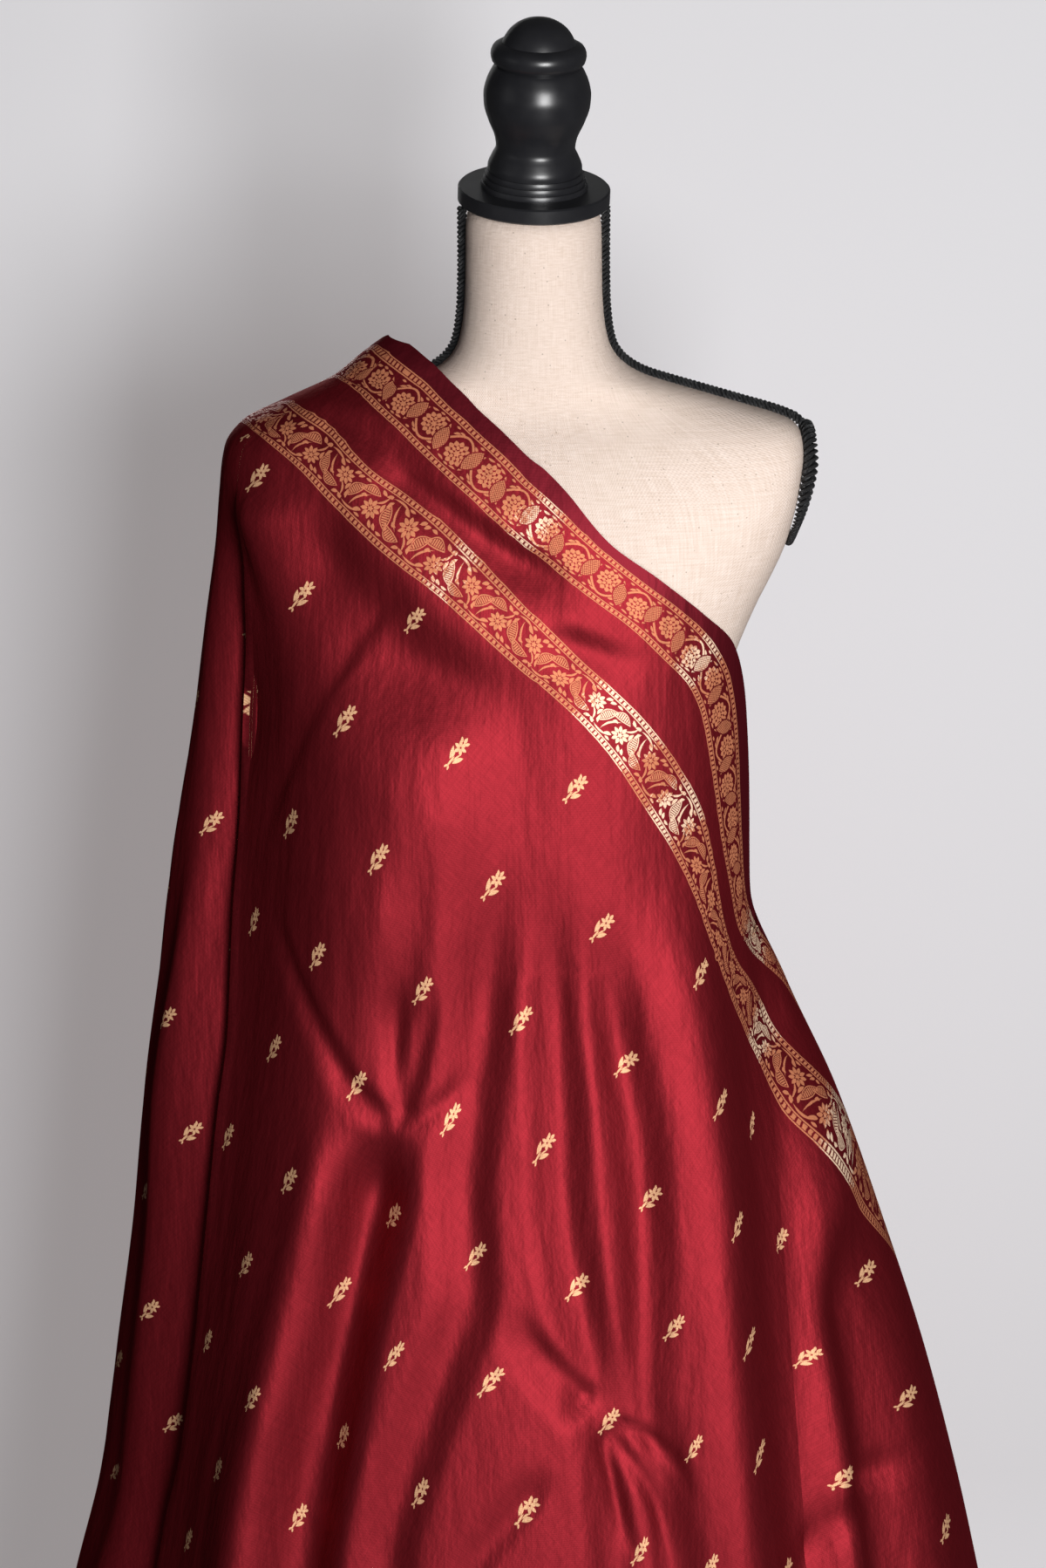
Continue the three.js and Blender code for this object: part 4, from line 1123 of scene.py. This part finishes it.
# Colours of the linen, the painted wood and the cord, and the radius that the linen is wrapped at
LINEN_DARK = (0.68, 0.54, 0.45, 1)
LINEN_PALE = (0.84, 0.70, 0.62, 1)
LINEN_SPECK = (0.20, 0.15, 0.10, 1)
LINEN_WRAP = 0.13
WOOD_BLACKS = ((0.008, 0.008, 0.010, 1), (0.020, 0.020, 0.022, 1))
CORD_BLACKS = ((0.008, 0.008, 0.009, 1), (0.030, 0.031, 0.033, 1))


def silk_material(groups):
    """Crisp red silk with its maroon edge strip, two woven borders and scattered sprigs."""
    material, tree, shader, m = new_material("silk_brocade")
    along_one, off, _ = uv_parts(tree, "Band one")
    along_two, _, _ = uv_parts(tree, "Band two")
    px, py, weave_vector = uv_parts(tree, "Cloth")

    weave = use_group(tree, groups["weave"], Vector=weave_vector, Thread=0.0006, Slub=1.0)
    bands = []
    painted_glints = []
    for band, group, along in ((BAND_ONE, groups["pineapple"], along_one),
                               (BAND_TWO, groups["paisley"], along_two)):
        low, high = band
        y = m("SUBTRACT", (low + high) / 2, off)
        field = use_group(tree, group, X=m("SUBTRACT", along, BAND_STARTS[band]), Y=y)["Mask"]
        # Painted highlight: patches along the band where the metal threads are painted pale, with ragged ends
        for start_of, end_of in PAINTED_GLINTS[band]:
            middle, half = (start_of + end_of) / 2, (end_of - start_of) / 2
            ragged = m("MULTIPLY_ADD", weave["Tone"], 60, along)
            near = m("SUBTRACT", half, m("ABSOLUTE", m("SUBTRACT", ragged, middle)))
            painted_glints.append(m("MULTIPLY", m("MULTIPLY_ADD", near, 0.12, 0.4, clamp=True),
                            m("MULTIPLY", between(tree, off, low, high), PAINTED_GLINT_SHARE)))
        inside = between(tree, off, low + LADDER, high - LADDER)
        bands.append(m("MULTIPLY", field, inside))
        for edge in (low, high - LADDER):
            bands.append(m("MULTIPLY", ladder_mask(tree, along, off, edge, edge + LADDER),
                           between(tree, off, edge, edge + LADDER)))

    columns = m("ADD", m("DIVIDE", px, SPRIG_ALONG), 0.5)
    odd = m("MULTIPLY", m("GREATER_THAN", m("FLOORED_MODULO", columns, 2), 1), 0.5)
    sx = m("MULTIPLY", m("SUBTRACT", m("FLOORED_MODULO", columns, 1), 0.5), SPRIG_ALONG)
    down = m("ADD", m("DIVIDE", py, SPRIG_ACROSS), m("ADD", odd, 0.5))
    sy = m("MULTIPLY", m("SUBTRACT", 0.5, m("FLOORED_MODULO", down, 1)), SPRIG_ACROSS)
    sprig = use_group(tree, groups["sprig"], X=m("DIVIDE", sx, SPRIG_SIZE),
                      Y=m("DIVIDE", sy, SPRIG_SIZE))["Mask"]
    sprig = m("MULTIPLY", sprig, m("GREATER_THAN", off, BAND_TWO[1] + SPRIG_CLEARANCE))
    bands.append(sprig)
    gold = union(tree, *bands)

    tone = m("MULTIPLY_ADD", weave["Tone"], 2.2, 0.4, clamp=True)
    red = mix_color(tree, tone, SILK_RED, SILK_BRIGHT)
    red = mix_color(tree, m("LESS_THAN", off, BAND_ONE[0]), red, EDGE_MAROON)
    thread = m("MULTIPLY_ADD", weave["Height"], 0.35, 0.3, clamp=True)
    light_metal = mix_color(tree, sprig, ZARI, SPRIG_ZARI)
    metal = mix_color(tree, thread, ZARI_DARK, light_metal)
    # Paints the highlight colour onto the metal threads in those patches
    metal = mix_color(tree, union(tree, *painted_glints), metal, PAINTED_GLINT_ZARI)
    feed(tree, shader.inputs["Base Color"], mix_color(tree, gold, red, metal))
    feed(tree, shader.inputs["Metallic"],
         m("MULTIPLY_ADD", gold, ZARI_METALLIC - SILK_METALLIC, SILK_METALLIC))
    feed(tree, shader.inputs["Roughness"],
         m("MULTIPLY_ADD", gold, ZARI_ROUGHNESS - SILK_ROUGHNESS, SILK_ROUGHNESS))
    shader.inputs["Specular IOR Level"].default_value = 0.2
    shader.inputs["Specular Tint"].default_value = SILK_EDGE
    wrinkles = noise(tree, object_place(tree), 38, 4, (1, 1, 0.22), 0.55)
    uneven = add_bump(tree, shader, wrinkles, 0.0045, 0.55)
    height = m("ADD", m("MULTIPLY", weave["Height"], 0.25), m("MULTIPLY", gold, 0.8))
    add_bump(tree, shader, height, 0.00012, 0.6, uneven)
    return material


def linen_material(groups):
    """Natural linen, its weave wrapped round the form, with a few dark specks."""
    material, tree, shader, m = new_material("form_linen")
    place = object_place(tree)
    parts = tree.nodes.new("ShaderNodeSeparateXYZ")
    feed(tree, parts.inputs[0], place)
    angle = m("ARCTAN2", parts.outputs["X"], m("MULTIPLY", parts.outputs["Y"], -1))
    around = m("MULTIPLY", angle, LINEN_WRAP)
    joined = tree.nodes.new("ShaderNodeCombineXYZ")
    feed(tree, joined.inputs["X"], around)
    feed(tree, joined.inputs["Y"], parts.outputs["Z"])
    weave = use_group(tree, groups["weave"], Vector=joined.outputs[0], Thread=0.0011, Slub=2.4)
    tone = m("MULTIPLY_ADD", weave["Tone"], 2.8, 0.55, clamp=True)
    cream = mix_color(tree, tone, LINEN_DARK, LINEN_PALE)
    specks = tree.nodes.new("ShaderNodeTexVoronoi")
    specks.inputs["Scale"].default_value = 160
    feed(tree, specks.inputs["Vector"], place)
    speck = m("MULTIPLY", m("LESS_THAN", specks.outputs["Distance"], 0.09), 0.45)
    feed(tree, shader.inputs["Base Color"], mix_color(tree, speck, cream, LINEN_SPECK))
    shader.inputs["Roughness"].default_value = 0.9
    shader.inputs["Specular IOR Level"].default_value = 0.2
    add_bump(tree, shader, weave["Height"], 0.00025, 0.5)
    return material


def wood_material():
    """Black satin paint over turned wood."""
    material, tree, shader, m = new_material("black_satin_wood")
    grain = noise(tree, object_place(tree), 60, 4)
    feed(tree, shader.inputs["Base Color"], mix_color(tree, grain, *WOOD_BLACKS))
    feed(tree, shader.inputs["Roughness"], m("MULTIPLY_ADD", grain, 0.16, 0.24))
    add_bump(tree, shader, grain, 0.0006, 0.15)
    return material


def cord_material():
    """Black braid, with fine threads across each strand."""
    material, tree, shader, m = new_material("black_braid")
    around, along, _ = uv_parts(tree, "Strand")
    lines = m("SINE", m("ADD", m("MULTIPLY", around, 2.5), m("MULTIPLY", along, 6.0)))
    feed(tree, shader.inputs["Base Color"], mix_color(tree, m("MULTIPLY_ADD", lines, 0.5, 0.5), *CORD_BLACKS))
    shader.inputs["Roughness"].default_value = 0.42
    add_bump(tree, shader, lines, 0.0002, 0.6)
    return material


def loose_copy(name, source):
    """A copy of a CAD node that carries none of its marks."""
    piece = source.copy()
    piece.data = source.data.copy()
    piece.name = name
    for key in list(piece.keys()):
        del piece[key]
    piece.hide_render = False
    piece.hide_viewport = False
    bpy.context.scene.collection.objects.link(piece)
    return piece


def form_body(linen):
    """The form's torso, joined into one surface, subdivided, fitted back to the solid and eased."""
    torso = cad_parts["form_torso"]
    body = loose_copy("form_body", torso)
    choose(body)
    bpy.ops.object.mode_set(mode="EDIT")
    bpy.ops.mesh.select_all(action="SELECT")
    bpy.ops.mesh.remove_doubles(threshold=1e-5)
    bpy.ops.mesh.tris_convert_to_quads(face_threshold=SHARP_CORNER, shape_threshold=SHARP_CORNER)
    bpy.ops.mesh.select_all(action="DESELECT")
    bpy.ops.mesh.edges_select_sharp(sharpness=SHARP_CORNER)
    bpy.ops.transform.edge_crease(value=1.0)
    bpy.ops.object.mode_set(mode="OBJECT")
    rounder = body.modifiers.new("rounder", "SUBSURF")
    rounder.levels = FORM_LEVELS
    rounder.render_levels = FORM_LEVELS
    fitting = body.modifiers.new("fitting", "SHRINKWRAP")
    fitting.target = torso
    fitting.wrap_method = "TARGET_PROJECT"
    easing = body.modifiers.new("easing", "SMOOTH")
    easing.factor = 0.5
    easing.iterations = FORM_EASING
    apply_modifiers(body)
    body.data.materials.clear()
    body.data.materials.append(linen)
    body.data.polygons.foreach_set("use_smooth", [True] * len(body.data.polygons))
    return body


def fill_underarm(body):
    """Lets the form's right side out under the arm, where no cloth lies."""
    places = np.array([vertex.co for vertex in body.data.vertices]) / MM
    heights = places[:, 2]
    share = np.clip((places[:, 0] - FORM_AXIS_X) / read_curve(FORM_SECTIONS, "side", heights), 0, 1)
    weights = share ** UNDERARM_FADE * read_curve(UNDERARM, "fill", heights) / UNDERARM_MOST
    group = body.vertex_groups.new(name="underarm")
    for number in np.flatnonzero(weights > 0):
        group.add([int(number)], float(weights[number]), "REPLACE")
    filling = body.modifiers.new("filling", "DISPLACE")
    filling.vertex_group = "underarm"
    filling.direction = "X"
    filling.strength = UNDERARM_MOST * MM
    filling.mid_level = 0
    apply_modifiers(body)


def form_slope(z, step=1.5):
    """How much the form narrows with each millimetre up."""
    below, above = (read_curve(FORM_SECTIONS, "side", z + way) for way in (-step, step))
    return (below - above) / (2 * step)


def neck_cord_path(side):
    """Middle of the cord down the neck's side and along the shoulder."""
    share = np.linspace(0, 1, 60)
    way = np.where(share < 0.5, 1.2 * share, 0.6 + 0.8 * (share - 0.5))
    z = NECK_CORD["top"] + (NECK_CORD["bottom"] - NECK_CORD["top"]) * way
    x = read_curve(FORM_SECTIONS, "side", z)
    slope = form_slope(z)
    lift = CORD_SUNK * NECK_CORD["radius"] / np.hypot(slope, 1)
    path = np.stack([side * (x + lift), np.zeros(len(z)), z + slope * lift], axis=-1)
    return path, np.full(len(z), NECK_CORD["radius"])


def armhole_cord_path(side):
    """Middle of the cord round the closed armhole, an oval laid on the form's side."""
    turn = np.linspace(0, 2 * math.pi, 73)
    top, bottom = ARMHOLE_CORD["top"], ARMHOLE_CORD["bottom"]
    z = (top + bottom) / 2 + (top - bottom) / 2 * np.cos(turn)
    y = ARMHOLE_CORD["reach"] * np.sin(turn)
    reach, front, back, fullness = (read_curve(FORM_SECTIONS, column, z)
                                    for column in ("side", "front", "back", "fullness"))
    share = (1 - np.abs(y / np.where(y < 0, front, back)) ** fullness) ** (1 / fullness)
    x = reach * share
    if side > 0:
        x = x + read_curve(UNDERARM, "fill", z) * share ** UNDERARM_FADE
    slope = form_slope(z)
    thinness = smooth_step(0.3, -1, np.cos(turn))
    radius = ARMHOLE_CORD["radius"] + (ARMHOLE_CORD["least"] - ARMHOLE_CORD["radius"]) * thinness
    lift = CORD_SUNK * radius / np.hypot(slope, 1)
    return np.stack([side * (x + lift), y, z + slope * lift], axis=-1), radius


def cord_mesh(name, path, radii, closed, material):
    """Three strands twisted along a path, with a map round and along each strand."""
    lengths = marks_along(path)
    count = int(lengths[-1] / CORD_STEP)
    marks = np.linspace(0, lengths[-1], count + 1)
    middle = np.stack([np.interp(marks, lengths, path[:, i]) for i in range(3)], axis=-1)
    radius = np.interp(marks, lengths, radii)
    twist = CORD_TWIST * (radius[:-1] + radius[1:]) / 2
    turned = np.concatenate([[0], np.cumsum(np.diff(marks) / twist)])
    if closed:
        turned *= round(turned[-1]) / turned[-1]
        ahead = np.roll(middle[:-1], -2, axis=0) - np.roll(middle[:-1], 2, axis=0)
        ahead = np.concatenate([ahead, ahead[:1]])
    else:
        ahead = np.gradient(middle, axis=0)
    ahead /= np.linalg.norm(ahead, axis=1)[:, None]
    across = np.cross(ahead, (1, 0, 0) if closed else (0, 1, 0))
    across /= np.linalg.norm(across, axis=1)[:, None]
    other = np.cross(ahead, across)

    def round_about(angle, radii):
        """Offsets from the middle at an angle about it."""
        return radii * (np.cos(angle) * across[:, None] + np.sin(angle) * other[:, None])

    strand = (radius * STRAND_SHARE)[:, None, None]
    helix = radius[:, None, None] - strand
    sides = (np.arange(STRAND_SIDES) * 2 * math.pi / STRAND_SIDES)[None, :, None]
    row, column = np.meshgrid(np.arange(count), np.arange(STRAND_SIDES), indexing="ij")
    corner_row = np.stack([row, row, row + 1, row + 1], axis=-1)
    corner_side = np.stack([column, column + 1, column + 1, column], axis=-1)
    strand_faces = corner_row * STRAND_SIDES + corner_side % STRAND_SIDES
    strand_map = np.stack([corner_side / STRAND_SIDES, marks[corner_row] / STRAND_UNIT], axis=-1)
    points, faces = [], []
    for number in range(CORD_STRANDS):
        phase = 2 * math.pi * (number / CORD_STRANDS + turned)[:, None, None]
        rings = middle[:, None] + round_about(phase, helix) + round_about(sides, strand)
        points.append(rings.reshape(-1, 3))
        faces.append(strand_faces.reshape(-1, 4) + number * STRAND_SIDES * (count + 1))
    maps = {"Strand": np.tile(strand_map.reshape(-1, 2), (CORD_STRANDS, 1))}
    cord = smooth_piece(name, np.concatenate(points), np.concatenate(faces), material, maps)
    choose(cord)
    bpy.ops.object.mode_set(mode="EDIT")
    bpy.ops.mesh.select_all(action="SELECT")
    if closed:
        bpy.ops.mesh.remove_doubles(threshold=1e-5)
    else:
        bpy.ops.mesh.select_all(action="DESELECT")
        bpy.ops.mesh.select_non_manifold()
        bpy.ops.mesh.edge_face_add()
        bpy.ops.mesh.select_all(action="SELECT")
    bpy.ops.mesh.normals_make_consistent(inside=False)
    bpy.ops.object.mode_set(mode="OBJECT")
    return cord


def make_cords(material):
    for label, side in (("left", -1), ("right", 1)):
        for kind, place, closed in (("neck", neck_cord_path(side), False),
                                    ("armhole", armhole_cord_path(side), True)):
            path, radii = place
            path = path + np.array([FORM_AXIS_X, 0, 0])
            cord = cord_mesh(f"cord_{kind}_{label}", path, radii, closed, material)
            finish_piece(cord, "black_cord", f"trim_{kind}_{label}")


def make_cap(material):
    """Turned cap: a circle drawn up and resized ring by ring along the profile."""
    first = CAP_RUNS[0][0]
    bpy.ops.mesh.primitive_circle_add(vertices=CAP_SIDES, radius=first[0] * MM, fill_type="NGON")
    cap = bpy.context.object
    cap.name = "cap_turned"
    bpy.ops.object.mode_set(mode="EDIT")
    bpy.ops.mesh.select_all(action="SELECT")
    radius, height = first
    for run in CAP_RUNS:
        rounded = smooth_run(run, CAP_STEP) if len(run) > 4 else np.array(run, dtype=float)
        for next_radius, next_height in rounded:
            if abs(next_radius - radius) + abs(next_height - height) < 1e-6:
                continue
            move = {"value": (0, 0, (next_height - height) * MM)}
            bpy.ops.mesh.extrude_region_move(TRANSFORM_OT_translate=move)
            bpy.ops.transform.resize(value=(next_radius / radius, next_radius / radius, 1))
            radius, height = next_radius, next_height
    bpy.ops.mesh.select_all(action="SELECT")
    bpy.ops.mesh.normals_make_consistent(inside=False)
    bpy.ops.object.mode_set(mode="OBJECT")
    cap.rotation_euler = (math.radians(NECK_TILT), math.radians(NECK_ROLL), 0)
    cap.location = (FORM_AXIS_X * MM, 0, NECK_TOP * MM)
    choose(cap)
    bpy.ops.object.transform_apply(location=True, rotation=True, scale=True)
    bpy.ops.object.shade_smooth_by_angle(angle=CAP_CORNER)
    cap.data.materials.append(material)
    finish_piece(cap, "black_wood", "neck_cap")


def finish_piece(piece, slot, *nodes):
    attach(piece, BODY)
    if nodes:
        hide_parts(*nodes)


def make_camera():
    data = bpy.data.cameras.new("camera")
    data.sensor_fit = "VERTICAL"
    data.angle = math.radians(CAMERA_FIELD)
    camera = add_object("camera", data)
    camera.location = CAMERA_PLACE
    camera.rotation_euler = (math.radians(90 - CAMERA_TILT), 0, 0)
    bpy.context.scene.camera = camera


# Lights: place, what they are aimed at and width in metres, and power in watts
Light = namedtuple("Light", "name place aim width power")
LIGHTS = (
    Light("key", (0.56, -2.05, 1.45), (0, 0, 0.95), 0.75, 58),
    Light("side", (-1.90, -1.00, 1.75), (0, 0, 1.1), 1.0, 0.7),
    Light("behind", (-0.4, 2.3, 1.7), (0, 0, 1.1), 1.2, 45),
)
ROOM_COLOR = (0.80, 0.80, 0.86, 1)
ROOM_LIGHT = 0.035
ROOM_SEEN = 0.65


def make_lights():
    """The lamps, and a dim room that looks brighter than the light it gives."""
    for lamp in LIGHTS:
        data = bpy.data.lights.new(lamp.name, "AREA")
        data.shape = "SQUARE"
        data.size = lamp.width
        data.energy = lamp.power
        light = add_object(lamp.name, data)
        light.location = lamp.place
        light.rotation_euler = (Vector(lamp.aim) - Vector(lamp.place)).to_track_quat("-Z", "Y").to_euler()
    world = bpy.data.worlds.new("studio")
    world.use_nodes = True
    tree = world.node_tree
    room = tree.nodes["Background"]
    room.inputs["Color"].default_value = ROOM_COLOR
    seen = tree.nodes.new("ShaderNodeLightPath").outputs["Is Camera Ray"]
    feed(tree, room.inputs["Strength"], math_node(tree, "MULTIPLY_ADD", seen, ROOM_SEEN, ROOM_LIGHT))
    bpy.context.scene.world = world
    bpy.context.scene.view_settings.view_transform = "Standard"


# Backdrop sizes in metres, its colours to other rays and to the camera, and the glow for the camera
WALL_PLACE = 0.62
WALL_HEIGHT = 3.2
WALL_BEND = 0.25
FLOOR_FRONT = -4.0
HALF_WIDTH = 3.5
PAPER_COLORS = ((0.08, 0.08, 0.082, 1), (0.56, 0.565, 0.59, 1))
GLOW_COLOR = (0.80, 0.77, 0.77, 1)
GLOW = 0.35


def paper_material():
    """Pale paper that is clear from behind, and to shadows."""
    material, tree, shader, m = new_material("backdrop_paper")
    path = tree.nodes.new("ShaderNodeLightPath")
    seen = path.outputs["Is Camera Ray"]
    feed(tree, shader.inputs["Base Color"], mix_color(tree, seen, *PAPER_COLORS))
    feed(tree, shader.inputs["Emission Strength"], m("MULTIPLY", seen, GLOW))
    shader.inputs["Emission Color"].default_value = GLOW_COLOR
    shader.inputs["Roughness"].default_value = 0.95
    shader.inputs["Specular IOR Level"].default_value = 0.1
    clear = tree.nodes.new("ShaderNodeBsdfTransparent")
    sides = tree.nodes.new("ShaderNodeMixShader")
    geometry = tree.nodes.new("ShaderNodeNewGeometry")
    feed(tree, sides.inputs[0], union(tree, geometry.outputs["Backfacing"], path.outputs["Is Shadow Ray"]))
    feed(tree, sides.inputs[1], shader.outputs[0])
    feed(tree, sides.inputs[2], clear.outputs[0])
    feed(tree, tree.nodes["Material Output"].inputs["Surface"], sides.outputs[0])
    return material


def make_backdrop():
    """Floor that curves up into a wall."""
    turns = np.radians(np.arange(0, 91, 9))
    y = np.concatenate([[FLOOR_FRONT], WALL_PLACE - WALL_BEND * (1 - np.sin(turns)), [WALL_PLACE]])
    z = np.concatenate([[0], WALL_BEND * (1 - np.cos(turns)), [WALL_HEIGHT]])
    points = np.array([(x, *place) for place in zip(y, z) for x in (-HALF_WIDTH, HALF_WIDTH)])
    faces = np.array([(2 * i, 2 * i + 1, 2 * i + 3, 2 * i + 2) for i in range(len(y) - 1)])
    smooth_piece("backdrop", points / MM, faces, paper_material(), {})


def make_cloth(material):
    """The saree's three sheets, each attached to the root body in place of its CAD nodes."""
    front = front_sheet(material)
    finish_piece(front, "silk", "front_drape", "shoulder_fall")
    back = plain_sheet("back", material)
    finish_piece(back, "silk", "back_drape")
    flare = plain_sheet("flare", material)
    finish_piece(flare, "silk", "right_flare")


def make_form(linen, wood):
    body = form_body(linen)
    fill_underarm(body)
    finish_piece(body, "linen", "form_torso")
    for node in ("stand_base", "stand_pole"):
        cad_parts[node].data.materials.clear()
        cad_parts[node].data.materials.append(wood)


bpy.ops.object.select_all(action="DESELECT")
make_camera()
groups = {"leaf": leaf_group(), "petals": ring_group(), "repeat": repeat_group(), "weave": weave_group()}
groups["pineapple"] = pineapple_band(groups)
groups["paisley"] = paisley_band(groups)
groups["sprig"] = sprig_group(groups)
silk = silk_material(groups)
wood = wood_material()
make_form(linen_material(groups), wood)
make_cap(wood)
make_cords(cord_material())
make_cloth(silk)
make_backdrop()
make_lights()
